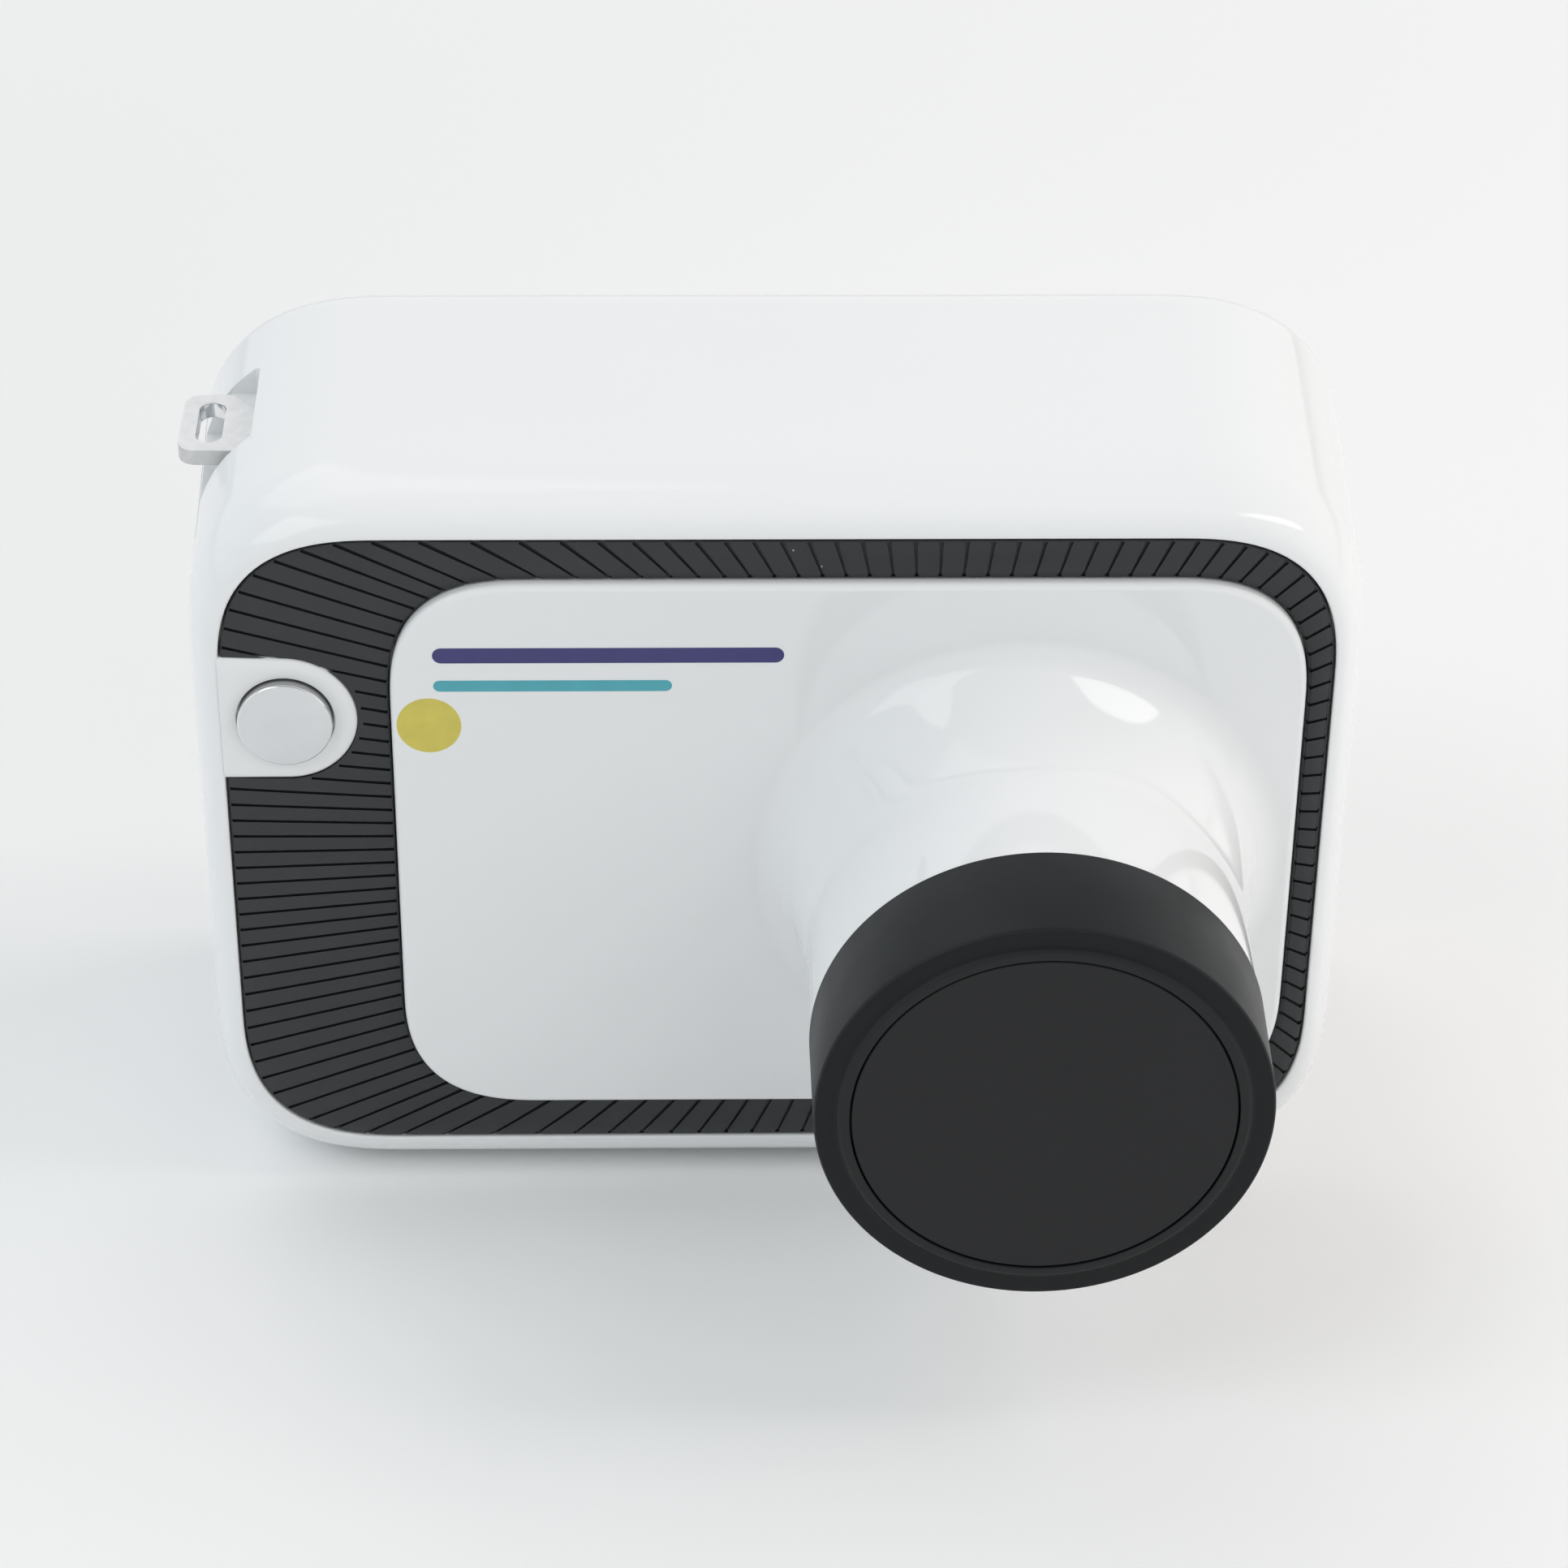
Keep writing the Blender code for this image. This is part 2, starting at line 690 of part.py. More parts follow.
def housing_holes():
    """Cutters for the holes in the front wall, the posts, the lug's wall and the base."""
    half, hole = LUG_WIDTH / 2 + GAP, SCREW_RADIUS + GAP
    holes = [
        through_front("beam_hole", BEAM_X, BEAM_Z, TUBE_BORE + GAP, TUBE_SEGMENTS),
        through_front("stem_hole", BUTTON_X, BUTTON_Z, STEM_RADIUS + GAP, SMALL_SEGMENTS),
        disc_stack("spring_pocket", BUTTON_X, BUTTON_Z, [(SPRING_OUTER + GAP, RECESS_DEPTH - OVERRUN),
                                                         (SPRING_OUTER + GAP, RECESS_DEPTH + SPRING_POCKET)]),
        box("lug_slit", (pocket_wall_x() - GAP, at(LUG_CENTRE_DEPTH - half), LUG_LOW - GAP),
            (pocket_wall_x() + LUG_TAIL, at(LUG_CENTRE_DEPTH + half), LUG_TOP + GAP)),
        upright("tripod_hole", TRIPOD_X, 0, [(TRIPOD_RADIUS + GAP, -OVERRUN),
                                             (TRIPOD_RADIUS + GAP, TRIPOD_SINK + TRIPOD_HEIGHT + GAP)])]
    holes += [through_front(f"cover_screw_hole_{count}", x, z, hole)
              for count, (x, z) in enumerate(cover_screw_places())]
    for count, (x, z) in enumerate(boss_places()):
        sections = [(hole, LEDGE_FACE - BOSS_LENGTH - OVERRUN), (hole, COVER_INNER)]
        holes.append(disc_stack(f"rear_screw_hole_{count}", x, z, sections, SCREW_SEGMENTS))
    for count, (x, y) in enumerate(lug_screw_places()):
        sections = [(hole, LUG_LOW - SCREW_BITE - GAP), (hole, LUG_LOW + GAP)]
        holes.append(upright(f"lug_screw_hole_{count}", x, y, sections, SCREW_SEGMENTS))
    return holes


def rear_outline():
    """Outline of the rebate that takes the rear cover."""
    return skin(BODY_DEPTH).grown(-REAR_LIP)


# Front pieces


def rib_line(number, outer, inner):
    """The outer and inner ends of one rib, as (x, z) points."""
    halves, within = divmod(number, 2 * RIBS_PER_HALF)
    mirrored = within > RIBS_PER_HALF
    step = 2 * RIBS_PER_HALF - within if mirrored else within
    place = smooth_shares(step)
    if mirrored:
        place = [1 - share for share in place]
    return outer.around(place[0]), inner.around(place[1])


def smooth_shares(step):
    """The outer and inner share of a rib, by cubic pieces through the table."""
    table = RIB_SHARES
    last = len(table) - 1
    slot = max(i for i in range(last) if table[i][0] <= step)
    near, far = table[slot], table[slot + 1]
    before, beyond = table[max(slot - 1, 0)], table[min(slot + 2, last)]
    span = far[0] - near[0]
    t = (step - near[0]) / span
    shares = []
    for column in (1, 2):
        start = (far[column] - before[column]) / (far[0] - before[0]) * span
        end = (beyond[column] - near[column]) / (beyond[0] - near[0]) * span
        shares.append((2 * t ** 3 - 3 * t ** 2 + 1) * near[column] + (t ** 3 - 2 * t ** 2 + t) * start
                      + (3 * t ** 2 - 2 * t ** 3) * far[column] + (t ** 3 - t ** 2) * end)
    return shares


def bezel_outline(inset):
    """(x, z) points of the bezel: a tongue with one round end."""
    radius = BEZEL_RADIUS - inset
    points = [(-HALF_BAND + GAP + inset, BUTTON_Z + radius), (-HALF_BAND + GAP + inset, BUTTON_Z - radius)]
    half_turns = 2 * CORNER_STEPS
    for step in range(half_turns + 1):
        turn = (step / half_turns - 1 / 2) * math.pi
        points.append((BUTTON_X + radius * math.cos(turn), BUTTON_Z + radius * math.sin(turn)))
    return points


def grip_band():
    """Dark ribbed inlay: each rib is a facet that rises to a crest and drops to the next one."""
    outer, inner = BAND.grown(-GAP), PANEL.grown(GAP)
    total = 2 * RIBS_PER_HALF
    back = at(RECESS_DEPTH - GAP)
    crest, valley = at(-RIB_CREST), at(RIB_STEP - RIB_CREST)
    bm = bmesh.new()
    lines = []
    for number in range(total):
        (ox, oz), (ix, iz) = rib_line(number, outer, inner)
        outer_points = [(ox, y, oz) for y in (back, valley, crest)]
        inner_points = [(ix, y, iz) for y in (crest, valley, back)]
        lines.append([bm.verts.new(point) for point in outer_points + inner_points])
    for number in range(total):
        here, after = lines[number], lines[(number + 1) % total]
        bm.faces.new((here[1], after[2], after[3], here[4]))
        bm.faces.new((here[1], here[2], here[3], here[4]))
        bm.faces.new((here[0], after[0], after[1], after[2], here[1]))
        bm.faces.new((here[5], here[4], after[3], after[4], after[5]))
        bm.faces.new((here[0], here[5], after[5], after[0]))
    band = finish_mesh("grip_band", bm, dark_rubber(), smooth=False)
    notch = bezel_outline(-GAP)
    notch[0], notch[1] = (-HALF_BAND - OVERRUN, notch[0][1]), (-HALF_BAND - OVERRUN, notch[1][1])
    return cut(band, loft("bezel_notch", [[Vector((x, y, z)) for x, z in notch]
                                          for y in (at(-OVERRUN), at(RECESS_DEPTH + OVERRUN))], smooth=False))


def flare_loops():
    """Circles from the foot of the flare to the tube, as (x, z, radius, depth)."""
    rings = []
    for length, swell, lift in FLARE_SHARES:
        rings.append((BEAM_X - FLARE_SHIFT * lift, BEAM_Z + FLARE_LIFT * lift,
                      TUBE_RADIUS + (FLARE_RADIUS - TUBE_RADIUS) * swell, -PANEL_RISE - FLARE_LENGTH * length))
    return rings


def front_cover():
    """White raised panel with its flared foot, tube and the spigot for the collar."""
    halfway = PANEL_EDGE * (1 - math.sqrt(1 / 2))
    cover = loft("front_cover", [
        PANEL.loop(at(RECESS_DEPTH - GAP)), PANEL.loop(at(PANEL_EDGE - PANEL_RISE)),
        PANEL.grown(-halfway).loop(at(halfway - PANEL_RISE)), PANEL.grown(-PANEL_EDGE).loop(at(-PANEL_RISE))],
        white_plastic())
    spigot_end = -COLLAR_START - SPIGOT_LENGTH
    foot = flare_loops()
    shoulder = -COLLAR_START + GAP
    rings = [(*foot[0][:3], RECESS_DEPTH / 2)] + foot + [
        (BEAM_X, BEAM_Z, TUBE_RADIUS, shoulder), (BEAM_X, BEAM_Z, SPIGOT_RADIUS, shoulder),
        (BEAM_X, BEAM_Z, SPIGOT_RADIUS, spigot_end)]
    join(cover, loft("flared_tube", [circle(x, z, radius, at(depth), TUBE_SEGMENTS)
                                     for x, z, radius, depth in rings]))
    bore = [(TUBE_BORE, RECESS_DEPTH + OVERRUN), (TUBE_BORE, spigot_end - OVERRUN)]
    pilot = [(SCREW_RADIUS + GAP, RECESS_DEPTH + OVERRUN), (SCREW_RADIUS + GAP, RECESS_DEPTH - SCREW_BITE)]
    return cut(cover, disc_stack("tube_bore", BEAM_X, BEAM_Z, bore, TUBE_SEGMENTS),
               *[disc_stack(f"cover_pilot_{count}", x, z, pilot, SCREW_SEGMENTS)
                 for count, (x, z) in enumerate(cover_screw_places())])


def front_cover_screws():
    """Screws through the front wall into the front cover."""
    bite = FRONT_WALL + SCREW_BITE - GAP * 2
    screws("front_cover_screw", cover_screw_places(), FRONT_WALL_BACK + GAP + SCREW_HEAD_HEIGHT, bite)


def collar():
    """Black ring on the spigot, with a dished front, a step and a seat for the disc."""
    back, front = -COLLAR_START, -COLLAR_START - COLLAR_LENGTH
    seat = front + DISC_SINK + DISC_THICKNESS + GAP
    bore, lip = SPIGOT_RADIUS + GAP, DISC_RADIUS + GAP
    spigot_end = back - SPIGOT_LENGTH - GAP
    sections = [
        (COLLAR_RADIUS, back), (COLLAR_RADIUS - COLLAR_TAPER, front + COLLAR_EDGE + COLLAR_RING_SINK),
        (COLLAR_RADIUS - COLLAR_TAPER - COLLAR_EDGE / 3, front + COLLAR_EDGE / 3 + COLLAR_RING_SINK),
        (COLLAR_RADIUS - COLLAR_TAPER - COLLAR_EDGE, front + COLLAR_RING_SINK),
        (COLLAR_RING_INNER, front + COLLAR_RING_SINK), (COLLAR_RING_INNER - COLLAR_STEP, front),
        (lip, front), (lip, seat), (lip - DISC_LEDGE, seat), (lip - DISC_LEDGE, spigot_end), (bore, spigot_end),
        (bore, back)]
    return turned_ring("collar", BEAM_X, BEAM_Z, sections, surface=black_plastic())


def collar_disc():
    """Flat black exit window of the beam."""
    front = -COLLAR_START - COLLAR_LENGTH + DISC_SINK
    sections = [(DISC_RADIUS, front), (DISC_RADIUS, front + DISC_THICKNESS)]
    return disc_stack("collar_disc", BEAM_X, BEAM_Z, sections, TUBE_SEGMENTS, black_plastic())


def button_bezel():
    """White island round the button, with a counterbore for the button's flange."""
    front = -BEZEL_RISE
    inset = BEZEL_EDGE * (1 - math.sqrt(1 / 2))
    levels = [(0, RECESS_DEPTH - GAP), (0, front + BEZEL_EDGE), (inset, front + inset), (BEZEL_EDGE, front)]
    bezel = loft("button_bezel", [[Vector((x, at(depth), z)) for x, z in bezel_outline(inset)]
                                  for inset, depth in levels], white_plastic())
    flange = button_flange_front()
    hole = disc_stack("button_hole", BUTTON_X, BUTTON_Z, [
        (BUTTON_RADIUS + BUTTON_CLEARANCE, front - OVERRUN), (BUTTON_RADIUS + BUTTON_CLEARANCE, flange - GAP),
        (BUTTON_RADIUS + BUTTON_FLANGE + BUTTON_CLEARANCE, flange - GAP),
        (BUTTON_RADIUS + BUTTON_FLANGE + BUTTON_CLEARANCE, RECESS_DEPTH + OVERRUN)], BUTTON_SEGMENTS)
    return cut(bezel, hole)


def button_flange_front():
    """Depth of the front of the exposure button's flange."""
    return BUTTON_BODY - BUTTON_RISE


def exposure_button():
    """Satin button with its flange and stem, which travels inwards."""
    flange = button_flange_front()
    under = flange + BUTTON_FLANGE_THICKNESS
    sections = [
        (BUTTON_RADIUS - BUTTON_CHAMFER, -BUTTON_RISE), (BUTTON_RADIUS, -BUTTON_RISE + BUTTON_CHAMFER),
        (BUTTON_RADIUS, flange), (BUTTON_RADIUS + BUTTON_FLANGE, flange),
        (BUTTON_RADIUS + BUTTON_FLANGE, under), (STEM_RADIUS, under), (STEM_RADIUS, stem_end())]
    button = disc_stack("exposure_button", BUTTON_X, BUTTON_Z, sections, BUTTON_SEGMENTS, satin_metal())
    return hang_on(button, "exposure_button_axis", (BUTTON_X, at(0), BUTTON_Z))


def stem_end():
    """Depth of the button stem's inner end at rest."""
    return FRONT_WALL_BACK + STEM_REACH


def wave_spring():
    """Flat spring washer under the button, drawn pressed flat in its pocket."""
    floor = RECESS_DEPTH + SPRING_POCKET - GAP
    inner = STEM_RADIUS + 2 * GAP
    return turned_ring("wave_spring", BUTTON_X, BUTTON_Z, [
        (SPRING_OUTER, floor - SPRING_THICKNESS), (SPRING_OUTER, floor), (inner, floor),
        (inner, floor - SPRING_THICKNESS)], SMALL_SEGMENTS, steel())


def trigger_switch():
    """Switch that the stem presses."""
    front = stem_end() + BUTTON_TRAVEL + GAP
    half = SWITCH_SIZE / 2
    return box("trigger_switch", (BUTTON_X - half, at(front), BUTTON_Z - half),
               (BUTTON_X + half, at(front + SWITCH_DEPTH), BUTTON_Z + half), grey_plastic())


def trigger_board_front():
    """Depth of the trigger board's front face."""
    return stem_end() + BUTTON_TRAVEL + GAP + SWITCH_DEPTH + GAP


def trigger_board():
    """Small board behind the exposure switch."""
    front = trigger_board_front()
    wide, high = TRIGGER_BOARD_WIDTH / 2, TRIGGER_BOARD_HEIGHT / 2
    return box("trigger_board", (BUTTON_X - wide, at(front), BUTTON_Z - high),
               (BUTTON_X + wide, at(front + BOARD_THICKNESS), BUTTON_Z + high), green_board())


# Strap lug


def lug_screw_places():
    """(x, y) of the lug's two screws."""
    x = pocket_wall_x() + LUG_SCREW_FROM_WALL
    return [(x, at(LUG_CENTRE_DEPTH + side * LUG_SCREW_SPACING / 2)) for side in (-1, 1)]


def lug_outer_x():
    """X of the lug's outer end."""
    return WIDEST_LEFT - LUG_OUTSTAND


def strap_lug():
    """Flat plate with a strap slot, held by its tail inside the housing."""
    outer, tail = lug_outer_x(), pocket_wall_x() + LUG_TAIL - GAP
    front, back = at(LUG_CENTRE_DEPTH - LUG_WIDTH / 2), at(LUG_CENTRE_DEPTH + LUG_WIDTH / 2)
    edge = [(tail, front), (tail, back)]
    for centre_y, start in ((back - LUG_CORNER, 1), (front + LUG_CORNER, 2)):
        for step in range(CORNER_STEPS + 1):
            turn = (start + step / CORNER_STEPS) * math.pi / 2
            edge.append((outer + LUG_CORNER * (1 + math.cos(turn)), centre_y + LUG_CORNER * math.sin(turn)))
    lug = upright_prism("strap_lug", edge, LUG_LOW, LUG_TOP, bare_aluminium())
    centre_x, radius = slot_centre_x(), SLOT_WIDTH / 2
    reach = SLOT_LENGTH / 2 - radius
    slot = []
    for way in (1, -1):
        for step in range(CORNER_STEPS + 1):
            turn = step / CORNER_STEPS * math.pi
            slot.append((centre_x + way * radius * math.cos(turn),
                         at(LUG_CENTRE_DEPTH) + way * (reach + radius * math.sin(turn))))
    low, high = LUG_LOW - OVERRUN, LUG_TOP + OVERRUN
    hole = [(SCREW_RADIUS + GAP, low), (SCREW_RADIUS + GAP, high)]
    return cut(lug, upright_prism("lug_slot", slot, low, high),
               *[upright(f"lug_hole_{count}", x, y, hole, SCREW_SEGMENTS)
                 for count, (x, y) in enumerate(lug_screw_places())])


def slot_centre_x():
    """X of the middle of the strap slot."""
    return lug_outer_x() + SLOT_EDGE + SLOT_WIDTH / 2


def lug_screws():
    """Two screws that hold the lug down on its shelf."""
    under = LUG_TOP + GAP
    top = under + SCREW_HEAD_HEIGHT
    sections = [
        (SCREW_RADIUS, LUG_LOW - SCREW_BITE), (SCREW_RADIUS, under), (SCREW_HEAD_RADIUS, under),
        (SCREW_HEAD_RADIUS, top), (SCREW_SOCKET_RADIUS, top), (SCREW_SOCKET_RADIUS, top - SCREW_SOCKET_DEPTH)]
    for count, (x, y) in enumerate(lug_screw_places(), 1):
        upright(f"lug_screw_{count}", x, y, sections, SCREW_SEGMENTS, steel())


# Battery


def pack_size():
    """Width and height of the four wrapped cells."""
    return 2 * CELL_DIAMETER + PACK_CLEARANCE


def pack_left():
    """X of the battery pack's outer face."""
    return door_floor_x() + WALL / 2


def pack_front():
    """Depth of the battery pack's front, just ahead of the posts that take the rear cover's screws."""
    return LEDGE_FACE - BOSS_LENGTH - PACK_TO_POSTS - pack_size()


def battery_mouth():
    """Corners of the opening that the battery goes through."""
    front, back = at(pack_front() - PACK_CLEARANCE), at(pack_front() + pack_size() + PACK_CLEARANCE)
    return ((door_floor_x() - OVERRUN, front, PACK_LOW - PACK_CLEARANCE),
            (door_floor_x() + WALL + OVERRUN, back, PACK_LOW + CELL_HEIGHT + PACK_CLEARANCE))


def battery_door():
    """Side cover that follows the housing's skin and slides off to the rear."""
    door = loft("battery_door", skin_loops(), white_plastic())
    combine(door, [door_prism("door_limits", 0, BODY_DEPTH - DOOR_BACK)], "INTERSECT")
    return hang_on(door, "battery_door_axis", (door_floor_x(), at(DOOR_FRONT), DOOR_LOW))


def battery_pack():
    """Four cells in one wrap."""
    side = pack_size()
    radius = CELL_DIAMETER / 2
    left, right = pack_left() + radius, pack_left() + side - radius
    front, back = at(pack_front() + radius), at(pack_front() + side - radius)
    edge = []
    for quarter, (x, y) in enumerate(((right, back), (left, back), (left, front), (right, front))):
        for step in range(CORNER_STEPS + 1):
            turn = (quarter + step / CORNER_STEPS) * math.pi / 2
            edge.append((x + radius * math.cos(turn), y + radius * math.sin(turn)))
    return upright_prism("battery_pack", edge, PACK_LOW, PACK_LOW + CELL_HEIGHT, blue_wrap())


def battery_cradle():
    """Bracket on the housing's floor that carries the battery pack."""
    side = pack_size()
    left, wall = pack_left(), pack_left() + side + GAP
    right = wall + CRADLE_WALL
    front, back = at(pack_front()), at(pack_front() + side)
    top, middle = PACK_LOW - GAP, PACK_LOW - GAP - CRADLE_WALL / 2
    cradle = box("battery_cradle", (left, front, top - CRADLE_WALL), (right, back, top), grey_plastic())
    join(cradle, box("cradle_wall", (wall, front, 0), (right, back, PACK_LOW + CELL_HEIGHT / 2)),
         box("cradle_front_rib", (left, front, 0), (wall + CRADLE_WALL / 2, front + CRADLE_WALL, middle)),
         box("cradle_rear_rib", (left, back - CRADLE_WALL, 0), (wall + CRADLE_WALL / 2, back, middle)))
    return combine(cradle, [inner_space("cradle_space", GAP)], "INTERSECT")


def battery_connector():
    """Contact block behind the cradle's wall."""
    face = pack_left() + pack_size() + GAP + CRADLE_WALL + GAP
    middle, half = at(pack_front() + pack_size() / 2), CONNECTOR_SIDE / 2
    return box("battery_connector", (face, middle - half, PACK_LOW),
               (face + CONNECTOR_DEPTH, middle + half, PACK_LOW + CONNECTOR_SIDE), black_plastic())


# X-ray head


def tank_outline(inset=0.0):
    """Outline of the tank round the beam axis."""
    half_wide, half_high = TANK_WIDTH / 2 - inset, TANK_HEIGHT / 2 - inset
    return Outline(BEAM_X - half_wide, BEAM_X + half_wide, BEAM_Z - half_high, BEAM_Z + half_high,
                   TANK_CORNER - inset / 2, 3)


def plate_front():
    """Depth of the tank plate's front face."""
    return FRONT_WALL_BACK + GAP


def tank_front():
    """Depth of the tank's front face."""
    return plate_front() + TANK_PLATE + GAP


def lid_front():
    """Depth of the tank lid's inner face, as far back as the main board allows."""
    board_front = main_board_face() - BOARD_THICKNESS
    return board_front - TANK_TO_BOARD - SCREW_HEAD_HEIGHT - GAP - TANK_LID


def tank_depth():
    """Depth of the tank itself, without its lid."""
    return lid_front() - GAP - tank_front()


def saddle_half():
    """Half the width of the glass's saddles."""
    return TUBE_GLASS_RADIUS + SADDLE_MARGIN


def tank_side_room():
    """How far from the beam axis the parts beside the glass start and end."""
    return saddle_half() + TANK_ROOM, TANK_WIDTH / 2 - TANK_WALL - TANK_ROOM


def tank_screw_places(inset):
    """(x, z) of screws in the corners of the tank."""
    shape = tank_outline(inset)
    return [(x, z) for x in (shape.left, shape.right) for z in (shape.low, shape.high)]


def slab(name, shape, front, thickness, surface):
    """A flat plate with an outline, from a depth inwards."""
    return loft(name, [shape.loop(at(front)), shape.loop(at(front + thickness))], surface)


def tank_plate():
    """Aluminium plate between the front wall and the tank."""
    front = plate_front()
    plate = slab("tank_plate", tank_outline(-TANK_PLATE_MARGIN), front, TANK_PLATE, bare_aluminium())
    hole = COLLIMATOR_RADIUS + GAP
    sections = [(hole, front - OVERRUN), (hole, front + TANK_PLATE + OVERRUN)]
    return cut(plate, disc_stack("plate_hole", BEAM_X, BEAM_Z, sections, BUTTON_SEGMENTS))


def tank_case():
    """Aluminium tank, open at the back, with the beam port in front."""
    front = tank_front()
    case = slab("tank_case", tank_outline(), front, tank_depth(), bare_aluminium())
    port = [(PORT_RADIUS, front - OVERRUN), (PORT_RADIUS, front + TANK_WALL + OVERRUN)]
    return cut(case, slab("tank_hollow", tank_outline(TANK_WALL), front + TANK_WALL, tank_depth(), None),
               disc_stack("tank_port", BEAM_X, BEAM_Z, port))


def tank_lid():
    """Lid that closes the tank."""
    front = lid_front()
    lid = slab("tank_lid", tank_outline(), front, TANK_LID, bare_aluminium())
    hole = [(SCREW_RADIUS + GAP, front - OVERRUN), (SCREW_RADIUS + GAP, front + TANK_LID + OVERRUN)]
    return cut(lid, *[disc_stack(f"lid_hole_{count}", x, z, hole, SCREW_SEGMENTS)
                      for count, (x, z) in enumerate(tank_screw_places(2 * TANK_WALL))])


def shield_front():
    """Depth of the inner face of the lid's shield."""
    return lid_front() - GAP - SHIELD_THICKNESS


def tank_shield():
    """Lead plate inside the lid that shields the operator, clear of the lid's screws."""
    return slab("tank_shield", tank_outline(3 * TANK_WALL), shield_front(), SHIELD_THICKNESS, lead())


def tank_screws():
    """Screws with long shanks in the corners of the lid."""
    head = lid_front() + TANK_LID + GAP + SCREW_HEAD_HEIGHT
    screws("tank_screw", tank_screw_places(2 * TANK_WALL), head, TANK_LID + SCREW_BITE)


def beam_collimator():
    """Lead aperture in front of the tank's port."""
    back = tank_front() - GAP
    front = back - COLLIMATOR_DEPTH
    return turned_ring("beam_collimator", BEAM_X, BEAM_Z, [
        (COLLIMATOR_RADIUS, front), (COLLIMATOR_RADIUS, back), (PORT_RADIUS - GAP, back),
        (PORT_RADIUS + COLLIMATOR_DEPTH / 2, front)], BUTTON_SEGMENTS, lead())


def beam_filter():
    """Aluminium disc in the port of the tank."""
    front = tank_front() + GAP
    sections = [(PORT_RADIUS - GAP, front), (PORT_RADIUS - GAP, front + FILTER_THICKNESS)]
    return disc_stack("beam_filter", BEAM_X, BEAM_Z, sections, surface=bare_aluminium())


def tube_liner():
    """Lead lining of the white tube."""
    outer, inner = TUBE_BORE - GAP, TUBE_BORE - GAP - LINER_THICKNESS
    back = tank_front() - TANK_PLATE - 2 * GAP
    front = -COLLAR_START - SPIGOT_LENGTH
    sections = [(outer, front), (outer, back), (inner, back), (inner, front)]
    return turned_ring("tube_liner", BEAM_X, BEAM_Z, sections, surface=lead())


def glass_centre_depth():
    """Depth of the x-ray tube's axis."""
    return tank_front() + TANK_WALL + TUBE_SETBACK + TUBE_GLASS_RADIUS


def xray_tube():
    """Glass envelope, upright in the tank."""
    half = TUBE_GLASS_LENGTH / 2
    inner = TUBE_GLASS_RADIUS - TUBE_GLASS_WALL
    return upright("xray_tube", BEAM_X, at(glass_centre_depth()), [
        (TUBE_GLASS_RADIUS, BEAM_Z - half), (TUBE_GLASS_RADIUS, BEAM_Z + half), (inner, BEAM_Z + half),
        (inner, BEAM_Z - half)], surface=clear_glass(), ring=True)


def anode():
    """Copper anode in the upper end of the glass."""
    half, collar_radius = TUBE_GLASS_LENGTH / 2, TUBE_GLASS_RADIUS - TUBE_GLASS_WALL - GAP
    target = BEAM_Z + TARGET_GAP / 2
    plug = BEAM_Z + half - ANODE_OUT / 2
    return upright("anode", BEAM_X, at(glass_centre_depth()), [
        (ANODE_RADIUS, target), (ANODE_RADIUS, plug), (collar_radius, plug), (collar_radius, BEAM_Z + half),
        (ANODE_RADIUS, BEAM_Z + half), (ANODE_RADIUS, BEAM_Z + half + ANODE_OUT)], surface=copper())


def cathode():
    """Cathode cup in the lower end of the glass."""
    half, collar_radius = TUBE_GLASS_LENGTH / 2, TUBE_GLASS_RADIUS - TUBE_GLASS_WALL - GAP
    cup = BEAM_Z - TARGET_GAP / 2
    plug = BEAM_Z - half + CATHODE_OUT / 2
    return upright("cathode", BEAM_X, at(glass_centre_depth()), [
        (CATHODE_RADIUS, BEAM_Z - half - CATHODE_OUT), (CATHODE_RADIUS, BEAM_Z - half),
        (collar_radius, BEAM_Z - half), (collar_radius, plug), (CATHODE_RADIUS, plug), (CATHODE_RADIUS, cup)],
        surface=steel())


def tube_saddles():
    """Two blocks that hold the glass off the tank's front wall."""
    half = saddle_half()
    front = tank_front() + TANK_WALL + GAP
    centre_y = at(glass_centre_depth())
    for name, way in (("tube_saddle_low", -1), ("tube_saddle_top", 1)):
        middle = BEAM_Z + way * (TUBE_GLASS_LENGTH / 2 - SADDLE_INSET - SADDLE_HEIGHT / 2)
        low, high = middle - SADDLE_HEIGHT / 2, middle + SADDLE_HEIGHT / 2
        bore = TUBE_GLASS_RADIUS + GAP
        edge = [(BEAM_X + half, at(front)), (BEAM_X + half, centre_y)]
        for step in range(2 * CORNER_STEPS + 1):
            turn = math.pi * step / (2 * CORNER_STEPS)
            edge.append((BEAM_X + bore * math.cos(turn), centre_y - bore * math.sin(turn)))
        edge += [(BEAM_X - half, centre_y), (BEAM_X - half, at(front))]
        loft(name, [[Vector((x, y, z)) for x, y in edge] for z in (low, high)], resin(), smooth=False)


def winding_box(grow=0.0):
    """Corners of the transformer winding, round the core's outer leg and left of the glass."""
    side = CORE_LEG + 2 * GAP + 2 * WINDING_BUILD
    back = shield_front() - GAP
    left = BEAM_X - tank_side_room()[1]
    low = BEAM_Z - WINDING_HEIGHT / 2
    return (left, at(back - side), low), (left + side, at(back), low + WINDING_HEIGHT)


def hv_winding():
    """High-voltage winding on the core's leg."""
    low, high = winding_box()
    winding = box("hv_winding", low, high, copper())
    inset = WINDING_BUILD
    return cut(winding, box("winding_bore", (low[0] + inset, low[1] + inset, low[2] - OVERRUN),
                            (high[0] - inset, high[1] - inset, high[2] + OVERRUN)))


